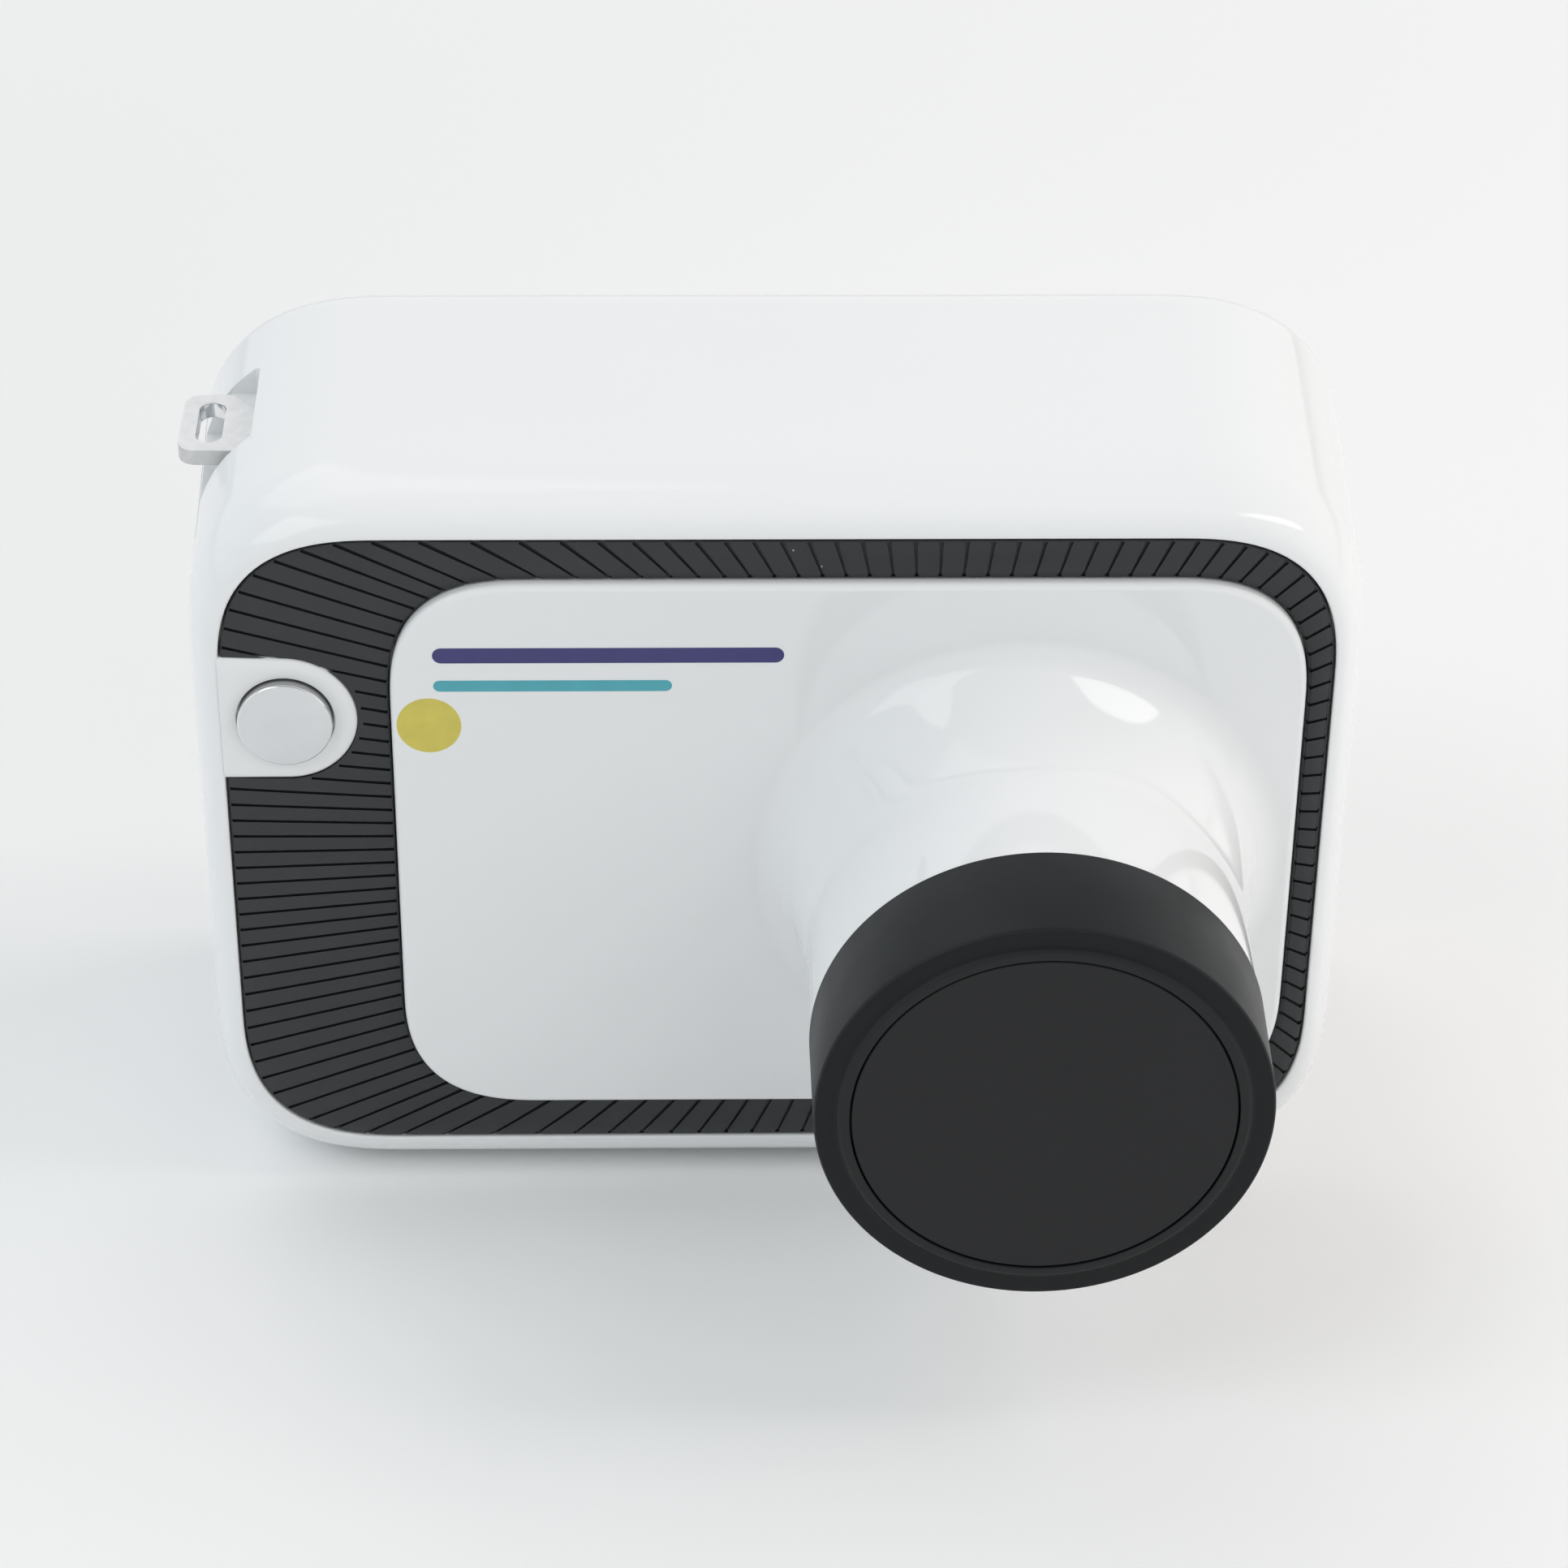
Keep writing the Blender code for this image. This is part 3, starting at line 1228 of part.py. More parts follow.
def hv_core():
    """Ferrite frame of the transformer."""
    low, high = winding_box()
    inset = WINDING_BUILD + GAP
    front, back, left = low[1] + inset, high[1] - inset, low[0] + inset
    bottom = (low[2] + high[2] - CORE_HEIGHT) / 2
    right, top = BEAM_X - tank_side_room()[0], bottom + CORE_HEIGHT
    core = box("hv_core", (left, front, bottom), (right, back, top), ferrite())
    return cut(core, box("core_window", (left + CORE_LEG, front - OVERRUN, bottom + CORE_LEG),
                         (right - CORE_LEG, back + OVERRUN, top - CORE_LEG)))


def hv_multiplier():
    """Potted voltage multiplier on the lid's shield, right of the glass."""
    back = shield_front() - GAP
    near, far = tank_side_room()
    low = BEAM_Z - MULTIPLIER_HEIGHT / 2
    return box("hv_multiplier", (BEAM_X + near, at(back - MULTIPLIER_DEPTH), low),
               (BEAM_X + far, at(back), low + MULTIPLIER_HEIGHT), resin())


# Rear pieces


def glass_outline(grow=0.0):
    """Outline of the display glass."""
    half_wide, half_high = GLASS_WIDTH / 2 + grow, GLASS_HEIGHT / 2 + grow
    return Outline(DISPLAY_X - half_wide, DISPLAY_X + half_wide, DISPLAY_Z - half_high,
                   DISPLAY_Z + half_high, GLASS_CORNER + grow / 2, 4)


def key_list():
    """Name, z and radius of every key on the rear cover."""
    keys = [("power_key", POWER_KEY_HEIGHT, POWER_KEY_RADIUS)]
    for count in range(MENU_KEY_COUNT):
        height = POWER_KEY_HEIGHT - MENU_KEY_DROP - count * MENU_KEY_PITCH
        keys.append((f"menu_key_{count + 1}", height, MENU_KEY_RADIUS))
    return keys


def board_posts():
    """(x, z, inner end) of the rear cover's moulded posts: four for the main board, two for the key board."""
    half_wide, half_high = MAIN_BOARD_WIDTH / 2 - POST_INSET, MAIN_BOARD_HEIGHT / 2 - POST_INSET
    posts = [(DISPLAY_X + across * half_wide, DISPLAY_Z + up * half_high, main_board_face() + GAP)
             for across in (-1, 1) for up in (-1, 1)]
    keys = key_list()
    ends = (keys[0][1] + KEY_BOARD_MARGIN - POST_INSET, keys[-1][1] - KEY_BOARD_MARGIN + POST_INSET)
    return posts + [(KEY_X, z, key_board_face() + GAP) for z in ends]


def rear_cover():
    """White rear cover with the display opening, the key holes, its screw holes and the posts of the boards."""
    shape = rear_outline().grown(-GAP)
    cover = loft("rear_cover", [shape.loop(at(COVER_INNER)), shape.loop(at(BODY_DEPTH))], white_plastic())
    for count, (x, z, end) in enumerate(board_posts()):
        sections = [(POST_RADIUS, end), (POST_RADIUS, BODY_DEPTH - COVER_THICKNESS / 2)]
        join(cover, disc_stack(f"board_post_{count}", x, z, sections, SCREW_SEGMENTS))
    tools = [
        loft("glass_rebate", [glass_outline(GAP).loop(at(BODY_DEPTH - GLASS_THICKNESS - GAP)),
                              glass_outline(GAP).loop(at(BODY_DEPTH + OVERRUN))], smooth=False),
        loft("display_hole", [glass_outline(-GLASS_LEDGE).loop(at(COVER_INNER - OVERRUN)),
                              glass_outline(-GLASS_LEDGE).loop(at(BODY_DEPTH))], smooth=False)]
    for name, z, radius in key_list():
        tools.append(disc_stack(f"{name}_hole", KEY_X, z, [(radius + KEY_CLEARANCE, COVER_INNER - OVERRUN),
                                                           (radius + KEY_CLEARANCE, BODY_DEPTH + OVERRUN)]))
    for count, (x, z) in enumerate(boss_places()):
        head = BODY_DEPTH - SCREW_HEAD_HEIGHT - GAP
        tools.append(disc_stack(f"rear_hole_{count}", x, z, [
            (SCREW_RADIUS + GAP, COVER_INNER - OVERRUN), (SCREW_RADIUS + GAP, head),
            (SCREW_HEAD_RADIUS + GAP, head), (SCREW_HEAD_RADIUS + GAP, BODY_DEPTH + OVERRUN)], SCREW_SEGMENTS))
    return cut(cover, *tools)


def rear_cover_screws():
    """Four screws of the rear cover."""
    screws("rear_cover_screw", boss_places(), BODY_DEPTH, REAR_SCREW_LENGTH - GAP)


def rear_seal():
    """Rubber seal on the ledge under the rear cover."""
    outer, inner = rear_outline().grown(-GAP), rear_outline().grown(-LEDGE_WIDTH)
    return ring_loft("rear_seal", [outer.loop(at(SEAL_BACK)), outer.loop(at(SEAL_BACK + SEAL_THICKNESS)),
                                   inner.loop(at(SEAL_BACK + SEAL_THICKNESS)), inner.loop(at(SEAL_BACK))],
                     dark_rubber(), smooth=False)


def display_glass():
    """Dark glass, flush with the rear cover."""
    return loft("display_glass", [glass_outline().loop(at(BODY_DEPTH - GLASS_THICKNESS)),
                                  glass_outline().loop(at(BODY_DEPTH))], dark_glass())


def display_module():
    """Display panel behind the glass."""
    half_wide, half_high = GLASS_WIDTH / 2 + MODULE_MARGIN, GLASS_HEIGHT / 2 + MODULE_MARGIN
    back = COVER_INNER - GAP
    return box("display_module", (DISPLAY_X - half_wide, at(back - MODULE_DEPTH), DISPLAY_Z - half_high),
               (DISPLAY_X + half_wide, at(back), DISPLAY_Z + half_high), grey_plastic())


def main_board_face():
    """Depth of the main board's rear face."""
    return COVER_INNER - MAIN_BOARD_BEHIND_COVER


def main_board():
    """Main circuit board with its largest parts, on its rear side."""
    face = main_board_face()
    half_wide, half_high = MAIN_BOARD_WIDTH / 2, MAIN_BOARD_HEIGHT / 2
    z = DISPLAY_Z
    board = box("main_board", (DISPLAY_X - half_wide, at(face - BOARD_THICKNESS), z - half_high),
                (DISPLAY_X + half_wide, at(face), z + half_high), green_board())
    buried = face - BOARD_THICKNESS / 2
    half_chip = CHIP_WIDTH / 2
    join(board, box("processor", (DISPLAY_X - half_chip, at(buried), z - half_chip),
                    (DISPLAY_X + half_chip, at(face + CHIP_HEIGHT), z + half_chip)))
    capacitor = [(CAPACITOR_RADIUS, buried), (CAPACITOR_RADIUS, face + CAPACITOR_HEIGHT)]
    for count in (-1, 1):
        join(board, disc_stack(f"capacitor_{count}", DISPLAY_X + count * MAIN_BOARD_WIDTH / 4,
                               z + MAIN_BOARD_HEIGHT / 4, capacitor, SCREW_SEGMENTS))
    return board


def buzzer():
    """Exposure buzzer on the main board."""
    x = DISPLAY_X + MAIN_BOARD_WIDTH / 4
    z = DISPLAY_Z - MAIN_BOARD_HEIGHT / 4
    face = main_board_face() + GAP
    return disc_stack("buzzer", x, z, [(BUZZER_RADIUS, face), (BUZZER_RADIUS, face + BUZZER_HEIGHT)],
                      surface=black_plastic())


def key_flange_front():
    """Depth of a key flange's inner face."""
    return COVER_INNER - GAP - KEY_FLANGE_THICKNESS


def key_board_face():
    """Depth of the key board's rear face."""
    return key_flange_front() - KEY_TRAVEL - GAP - KEY_SWITCH_HEIGHT


def key_board():
    """Narrow board with one switch under each key."""
    keys = key_list()
    high = keys[0][1] + KEY_BOARD_MARGIN
    low = keys[-1][1] - KEY_BOARD_MARGIN
    face, half = key_board_face(), KEY_BOARD_WIDTH / 2
    board = box("key_board", (KEY_X - half, at(face - BOARD_THICKNESS), low), (KEY_X + half, at(face), high),
                green_board())
    side = KEY_SWITCH_SIZE / 2
    switches = [box(f"{name}_switch", (KEY_X - side, at(face - BOARD_THICKNESS / 2), z - side),
                    (KEY_X + side, at(face + KEY_SWITCH_HEIGHT), z + side)) for name, z, _ in keys]
    return join(board, *switches)


def key(name, z, radius):
    """One key with its flange behind the rear cover; it travels inwards."""
    top = BODY_DEPTH + KEY_RISE
    flange = key_flange_front()
    under = flange + KEY_FLANGE_THICKNESS
    sections = [(radius + KEY_FLANGE, flange), (radius + KEY_FLANGE, under), (radius, under),
                (radius, top - KEY_CHAMFER), (radius - KEY_CHAMFER, top)]
    made = disc_stack(name, KEY_X, z, sections, surface=grey_plastic())
    return hang_on(made, f"{name}_axis", (KEY_X, at(BODY_DEPTH), z))


def tripod_insert():
    """Brass bush in the base."""
    low, high = TRIPOD_SINK, TRIPOD_SINK + TRIPOD_HEIGHT
    sections = [(TRIPOD_RADIUS, low), (TRIPOD_RADIUS, high), (TRIPOD_BORE, high), (TRIPOD_BORE, low)]
    return upright("tripod_insert", TRIPOD_X, 0, sections, surface=brass(), ring=True)


def build():
    """Make every piece."""
    clear_scene()
    for make in (housing, grip_band, front_cover, front_cover_screws, collar, collar_disc, button_bezel,
                 exposure_button, wave_spring, trigger_switch, trigger_board, strap_lug, lug_screws,
                 battery_door, battery_pack, battery_cradle, battery_connector, tank_plate, tank_case, tank_lid,
                 tank_shield, tank_screws, beam_collimator, beam_filter, tube_liner, xray_tube, anode,
                 cathode, tube_saddles, hv_winding, hv_core, hv_multiplier, rear_cover, rear_cover_screws,
                 rear_seal, display_glass, display_module, main_board, buzzer, key_board, tripod_insert):
        make()
    for name, z, radius in key_list():
        key(name, z, radius)


build()
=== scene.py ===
"""Looks of a handheld dental x-ray unit of the camera style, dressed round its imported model.

The frame is in metres: the origin lies in the middle of the flat base, +X points right as seen from the front,
the beam leaves along -Y and +Z is up. A depth is measured inwards from the front plane, so a negative depth
stands out in front of it.
"""

import logging
import math
from collections.abc import Callable, Iterable, Sequence
from dataclasses import dataclass, replace
from enum import Enum

import bmesh
import bpy
from mathutils import Matrix, Vector


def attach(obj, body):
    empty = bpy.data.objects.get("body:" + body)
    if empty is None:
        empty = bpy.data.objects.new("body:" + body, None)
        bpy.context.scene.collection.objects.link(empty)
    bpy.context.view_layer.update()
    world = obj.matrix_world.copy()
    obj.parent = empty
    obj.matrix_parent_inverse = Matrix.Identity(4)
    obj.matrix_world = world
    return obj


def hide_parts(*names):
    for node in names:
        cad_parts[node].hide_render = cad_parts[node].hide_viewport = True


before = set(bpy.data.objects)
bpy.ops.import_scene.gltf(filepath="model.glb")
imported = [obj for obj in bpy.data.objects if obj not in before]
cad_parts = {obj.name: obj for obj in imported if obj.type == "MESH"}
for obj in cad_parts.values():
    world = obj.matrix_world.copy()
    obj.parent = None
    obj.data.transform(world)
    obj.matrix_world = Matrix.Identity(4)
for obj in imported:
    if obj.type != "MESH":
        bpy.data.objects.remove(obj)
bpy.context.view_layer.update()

LOG = logging.getLogger("xray_unit")

Point = tuple[float, float]
Ring = list[Vector]
Triple = tuple[float, float, float]
Colour = Triple

Piece = bpy.types.Object
Socket = bpy.types.NodeSocket
Sockets = bpy.types.bpy_prop_collection
Feeds = dict[str | int, object]

UNIT = "unit"
# Angle in degrees above which an edge stays sharp, where nothing else is asked for
SHARP = 38.0
# Distance within which points are merged, in a new mesh and after a cut
MERGE_NEW, MERGE_CUT = 1e-7, 1e-6
# Angle in degrees above which an edge is rounded
ROUNDED = 50.0
# Length of the cross product of two edges below which the corner between them counts as straight
STRAIGHT = 4e-9


# Outlines and the body's own rules


def arc(centre: Point, radius: float, first: float, last: float, steps: int) -> list[Point]:
    """Return the points of an arc, from one angle in degrees to another."""
    turns = [math.radians(first + (last - first) * i / steps) for i in range(steps + 1)]
    return [(centre[0] + radius * math.cos(t), centre[1] + radius * math.sin(t)) for t in turns]


def quarter(steps: int) -> list[Point]:
    """Return, along a quarter round of radius 1, how far it has run and how far it still has to rise."""
    turns = [math.pi / 2 * step / steps for step in range(steps + 1)]
    return [(1 - math.cos(turn), 1 - math.sin(turn)) for turn in turns]


@dataclass(frozen=True)
class Outline:
    """A rounded rectangle in the XZ plane whose corners are superellipse arcs."""

    left: float
    right: float
    low: float
    high: float
    corner: float
    steps: int = 26
    power: float = 2.7

    def grown(self, sides: float, top: float | None = None, base: float | None = None) -> "Outline":
        """Move the outline outwards.

        Args:
            sides: How far the two sides and the corners move.
            top: How far the top moves, as the sides if left out.
            base: How far the base moves, as the sides if left out.

        Returns:
            The moved outline.
        """
        top = sides if top is None else top
        base = sides if base is None else base
        return replace(self, left=self.left - sides, right=self.right + sides, low=self.low - base,
                       high=self.high + top, corner=self.corner + sides)

    def flat(self) -> list[Point]:
        """Return the (x, z) points, anticlockwise as seen from the front, from the top right corner on."""
        points: list[Point] = []
        for side, level in ((1, 1), (-1, 1), (-1, -1), (1, -1)):
            for step in range(self.steps + 1):
                turn = step / self.steps if side == level else 1 - step / self.steps
                across = max(0.0, math.cos(turn * math.pi / 2)) ** (2 / self.power)
                up = max(0.0, math.sin(turn * math.pi / 2)) ** (2 / self.power)
                x = (self.right if side > 0 else self.left) - side * self.corner * (1 - across)
                z = (self.high if level > 0 else self.low) - level * self.corner * (1 - up)
                points.append((x, z))
        return points

    def ring(self, depth: float) -> Ring:
        """Return the outline's points at a depth."""
        return BODY.ring(self.flat(), depth)

    def around(self, share: float) -> Point:
        """Return the (x, z) point a share of the way round, from the middle of the right side, anticlockwise."""
        start = (self.right, (self.low + self.high) / 2)
        points = [start, *self.flat(), start]
        lengths = [math.dist(a, b) for a, b in zip(points, points[1:])]
        left = (share % 1.0) * sum(lengths)
        for (a, b), length in zip(zip(points, points[1:]), lengths):
            if left <= length and length > 0:
                return (a[0] + (b[0] - a[0]) * left / length, a[1] + (b[1] - a[1]) * left / length)
            left -= length
        return start


@dataclass(frozen=True)
class BodyRules:
    """Sizes that several sub-assemblies share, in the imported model's own frame."""

    gap: float = 0.0003
    overrun: float = 0.003
    depth: float = 0.0775
    half_band: float = 0.095
    band_low: float = 0.009
    band_top: float = 0.136
    band_corner: float = 0.0285
    panel_left: float = -0.066
    panel_right: float = 0.0902
    panel_low: float = 0.0181
    panel_top: float = 0.128
    panel_corner: float = 0.0245
    side_margin: float = 0.006
    top_margin: float = 0.007
    base_margin: float = 0.009
    side_draft: float = 0.002
    top_draft: float = 0.001
    front_roll: float = 0.016
    rear_roll: float = 0.009
    wall: float = 0.0025
    recess: float = 0.0035
    front_wall: float = 0.003
    rear_lip: float = 0.003
    cover_thickness: float = 0.0025
    ledge_thickness: float = 0.002
    ledge_width: float = 0.002
    seal_room: float = 0.0014
    beam_x: float = 0.0428
    beam_z: float = 0.0669
    button_x: float = -0.084
    button_z: float = 0.1006
    screw_inset: float = 0.003
    # How far round the rear cover its screws lie
    screw_shares: tuple[float, ...] = (0.104, 0.396, 0.604, 0.896)

    @property
    def roll_start(self) -> float:
        """Depth at which the rear roll starts."""
        return self.depth - self.rear_roll

    @property
    def ledge_face(self) -> float:
        """Depth of the ledge that carries the seal."""
        return self.depth - self.cover_thickness - self.seal_room

    @property
    def band(self) -> Outline:
        """Outline of the ribbed band."""
        return Outline(-self.half_band, self.half_band, self.band_low, self.band_top, self.band_corner)

    @property
    def panel(self) -> Outline:
        """Outline of the raised front panel."""
        return Outline(self.panel_left, self.panel_right, self.panel_low, self.panel_top, self.panel_corner)

    def at(self, depth: float) -> float:
        """Return the Y of a depth."""
        return depth - self.depth / 2

    def ring(self, edge: Iterable[Point], depth: float) -> Ring:
        """Return the points of an (x, z) outline at a depth."""
        return [Vector((x, self.at(depth), z)) for x, z in edge]

    def rolled(self, turn: float) -> tuple[float, Outline]:
        """Return the depth and the outline at a turn of the front roll, from 0 at the rim to a quarter."""
        swell = math.sin(turn)
        shape = self.band.grown(self.side_margin * swell, self.top_margin * swell, self.base_margin * swell)
        return self.front_roll * (1 - math.cos(turn)), shape

    def sides(self, depth: float, inset: float = 0.0) -> Outline:
        """Return the skin's outline between the two rolls and round the rear one.

        Args:
            depth: Depth behind the front roll.
            inset: How far the outline is moved inwards.

        Returns:
            The outline.
        """
        run = min(1.0, max(0.0, (depth - self.front_roll) / (self.roll_start - self.front_roll)))
        back = max(0.0, depth - self.roll_start)
        less = inset + self.rear_roll * (1 - math.sqrt(max(0.0, 1 - (back / self.rear_roll) ** 2)))
        return self.band.grown(self.side_margin + self.side_draft * run - less,
                               self.top_margin + self.top_draft * run - less, self.base_margin - less)

    @property
    def rear_outline(self) -> Outline:
        """Outline of the rebate that takes the rear cover."""
        return self.sides(self.depth).grown(-self.rear_lip)

    @property
    def rear_screws(self) -> list[Point]:
        """Places of the rear cover's screws, as (x, z)."""
        line = replace(self.rear_outline.grown(-self.ledge_width - self.screw_inset), steps=7)
        return [line.around(share) for share in self.screw_shares]


BODY = BodyRules()


# Mesh tools


class Meshes:
    """Helpers that build, cut and finish meshes."""

    @staticmethod
    def add_loft(bm: bmesh.types.BMesh, rings: Sequence[Ring], caps: bool = True, joined: bool = False) -> None:
        """Add a surface through rings of equal length.

        Args:
            bm: The mesh to add to.
            rings: The rings, in order.
            caps: Whether the first and the last ring are filled.
            joined: Whether the last ring is joined to the first, as on a torus.
        """
        rows = [[bm.verts.new(point) for point in ring] for ring in rings]
        pairs = list(zip(rows, rows[1:])) + ([(rows[-1], rows[0])] if joined else [])
        for near, far in pairs:
            for i in range(len(near)):
                j = (i + 1) % len(near)
                bm.faces.new((near[i], near[j], far[j], far[i]))
        if caps and not joined:
            bm.faces.new(rows[0])
            bm.faces.new(rows[-1])

    @staticmethod
    def place(name: str, data: bpy.types.ID) -> Piece:
        """Return a new object with some data, linked to the scene."""
        item = bpy.data.objects.new(name, data)
        bpy.context.scene.collection.objects.link(item)
        return item

    @staticmethod
    def plain(name: str, bm: bmesh.types.BMesh) -> Piece:
        """Turn a bmesh, which is freed, into an object in the scene."""
        mesh = bpy.data.meshes.new(name)
        bm.to_mesh(mesh)
        bm.free()
        return Meshes.place(name, mesh)

    @staticmethod
    def drop(piece: Piece) -> None:
        """Remove an object and its mesh."""
        mesh = piece.data
        bpy.data.objects.remove(piece, do_unlink=True)
        bpy.data.meshes.remove(mesh)

    @staticmethod
    def finish(name: str, bm: bmesh.types.BMesh, finish: "Finish | None" = None,
               sharp: float = SHARP) -> Piece:
        """Turn a bmesh into an object in the scene.

        Args:
            name: The object's name.
            bm: The mesh, which is freed.
            finish: The finish that it is dressed with.
            sharp: Angle in degrees above which an edge stays sharp.

        Returns:
            The object.
        """
        bmesh.ops.remove_doubles(bm, verts=bm.verts, dist=MERGE_NEW)
        bmesh.ops.recalc_face_normals(bm, faces=bm.faces)
        piece = Meshes.plain(name, bm)
        Meshes.smooth(piece, sharp)
        if finish is not None:
            finish.dress(piece)
        return piece

    @staticmethod
    def smooth(piece: Piece, sharp: float = SHARP) -> None:
        """Shade a piece smooth, with its sharp edges kept."""
        piece.data.shade_smooth()
        piece.data.set_sharp_from_angle(angle=math.radians(sharp))

    @staticmethod
    def flatten(piece: Piece, sharp: float = SHARP) -> Piece:
        """Shade a piece smooth with its large faces kept flat, and return it."""
        Meshes.smooth(piece, sharp)
        step = piece.modifiers.new("weighted_normals", "WEIGHTED_NORMAL")
        step.keep_sharp = True
        step.weight = 60
        return Meshes.settle(piece)

    @staticmethod
    def loft(name: str, rings: Sequence[Ring], finish: "Finish | None" = None, joined: bool = False,
             sharp: float = SHARP) -> Piece:
        """Return an object lofted through rings, closed at both ends or joined up as a torus."""
        bm = bmesh.new()
        Meshes.add_loft(bm, rings, joined=joined)
        return Meshes.finish(name, bm, finish, sharp)

    @staticmethod
    def circle(x: float, z: float, radius: float, depth: float, segments: int) -> Ring:
        """Return a circle round an axis along Y."""
        turns = [2 * math.pi * i / segments for i in range(segments)]
        return [Vector((x + radius * math.cos(t), BODY.at(depth), z + radius * math.sin(t))) for t in turns]

    @staticmethod
    def turned(name: str, centre: Point, profile: Iterable[Point], segments: int, finish: "Finish | None" = None,
               ring: bool = False, sharp: float = SHARP) -> Piece:
        """Return a piece turned about an axis along Y.

        Args:
            name: The object's name.
            centre: (x, z) of the axis.
            profile: (radius, depth) points, in order.
            segments: How many sides the piece has.
            finish: The finish that it is dressed with.
            ring: Whether the profile closes on itself, leaving a bore.
            sharp: Angle in degrees above which an edge stays sharp.

        Returns:
            The object.
        """
        rings = [Meshes.circle(*centre, radius, depth, segments) for radius, depth in profile]
        return Meshes.loft(name, rings, finish, ring, sharp)

    @staticmethod
    def upright(name: str, x: float, y: float, profile: Iterable[Point], segments: int = 48,
                finish: "Finish | None" = None, ring: bool = False) -> Piece:
        """Return a piece turned about an upright axis, from (radius, z) points."""
        turns = [2 * math.pi * i / segments for i in range(segments)]
        rings = [[Vector((x + r * math.cos(t), y + r * math.sin(t), z)) for t in turns] for r, z in profile]
        return Meshes.loft(name, rings, finish, ring)

    @staticmethod
    def box(name: str, low: Sequence[float], high: Sequence[float]) -> Piece:
        """Return a box between two corners, for cuts."""
        rings = [[Vector((x, y, z)) for x, y in ((low[0], low[1]), (high[0], low[1]), (high[0], high[1]),
                                                 (low[0], high[1]))] for z in (low[2], high[2])]
        return Meshes.loft(name, rings)

    @staticmethod
    def prism(name: str, edge: Sequence[Point], low: float, high: float,
              finish: "Finish | None" = None) -> Piece:
        """Return an upright prism over an (x, y) outline."""
        return Meshes.loft(name, [[Vector((x, y, z)) for x, y in edge] for z in (low, high)], finish)

    @staticmethod
    def slab(name: str, edge: Sequence[Point], near: float, far: float, finish: "Finish | None" = None) -> Piece:
        """Return a prism along Y over an (x, z) outline, between two depths."""
        return Meshes.loft(name, [BODY.ring(edge, near), BODY.ring(edge, far)], finish)

    @staticmethod
    def settle(piece: Piece) -> Piece:
        """Apply a piece's modifiers to its mesh."""
        graph = bpy.context.evaluated_depsgraph_get()
        made = bpy.data.meshes.new_from_object(piece.evaluated_get(graph), depsgraph=graph)
        piece.modifiers.clear()
        old = piece.data
        piece.data = made
        bpy.data.meshes.remove(old)
        made.name = piece.name
        return piece

    @staticmethod
    def combine(piece: Piece, others: Iterable[Piece], way: str) -> Piece:
        """Combine a piece with others and remove them.

        Args:
            piece: The piece that is changed.
            others: Cutters, or what is added.
            way: DIFFERENCE, UNION or INTERSECT.

        Returns:
            The piece.
        """
        tools = list(others)
        for tool in tools:
            step = piece.modifiers.new(tool.name, "BOOLEAN")
            step.operation, step.solver, step.object = way, "EXACT", tool
            tool.hide_render = True
        Meshes.settle(piece)
        for tool in tools:
            Meshes.drop(tool)
        return piece

    @staticmethod
    def cut(piece: Piece, *tools: Piece) -> Piece:
        """Take the tools out of a piece."""
        return Meshes.combine(piece, tools, "DIFFERENCE")

    @staticmethod
    def clean(piece: Piece) -> None:
        """Merge points that a cut left next to each other, and drop empty faces and straight corners."""
        bm = bmesh.new()
        bm.from_mesh(piece.data)
        bmesh.ops.remove_doubles(bm, verts=bm.verts, dist=MERGE_CUT)
        bmesh.ops.dissolve_degenerate(bm, edges=bm.edges, dist=MERGE_CUT)
        spare = []
        for corner in bm.verts:
            if len(corner.link_edges) == 2:
                first, second = (edge.other_vert(corner).co - corner.co for edge in corner.link_edges)
                if first.cross(second).length < STRAIGHT:
                    spare.append(corner)
        bmesh.ops.dissolve_verts(bm, verts=spare)
        bm.to_mesh(piece.data)
        bm.free()

    @staticmethod
    def ease_edges(piece: Piece, width: float, chosen: Callable[[Vector], bool] = lambda _: True) -> Piece:
        """Round a piece's sharp edges.

        Args:
            piece: The piece.
            width: Width of the rounding.
            chosen: Says of a point whether edges there are rounded.

        Returns:
            The piece.
        """
        bm = bmesh.new()
        bm.from_mesh(piece.data)
        bmesh.ops.remove_doubles(bm, verts=bm.verts, dist=MERGE_CUT)
        bmesh.ops.dissolve_degenerate(bm, edges=bm.edges, dist=MERGE_CUT)
        limit = math.radians(ROUNDED)
        edges = [e for e in bm.edges if e.is_manifold and e.calc_face_angle(0.0) > limit
                 and chosen(e.verts[0].co) and chosen(e.verts[1].co)]
        bmesh.ops.bevel(bm, geom=edges, offset=width, segments=2, profile=0.5, affect="EDGES",
                        clamp_overlap=True)
        bmesh.ops.dissolve_degenerate(bm, edges=bm.edges, dist=MERGE_CUT)
        bm.to_mesh(piece.data)
        bm.free()
        return Meshes.flatten(piece)


def hand_over(piece: Piece, body: str, slot: str, *nodes: str) -> None:
    """Tie a piece to its body, in place of the nodes that it stands for.

    Args:
        piece: The finished piece.
        body: Name of the body that it rides on.
        slot: The record's material slot; not used.
        nodes: Names of the nodes that it replaces.
    """
    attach(piece, body)
    if nodes:
        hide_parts(*nodes)
    LOG.info("%s rides on %s: %d faces", piece.name, body, len(piece.data.polygons))


# Node trees, and shader effects that are built once and used by many finishes


def solid(colour: Iterable[float]) -> tuple[float, ...]:
    """Return a colour with full opacity."""
    return (*colour, 1.0)


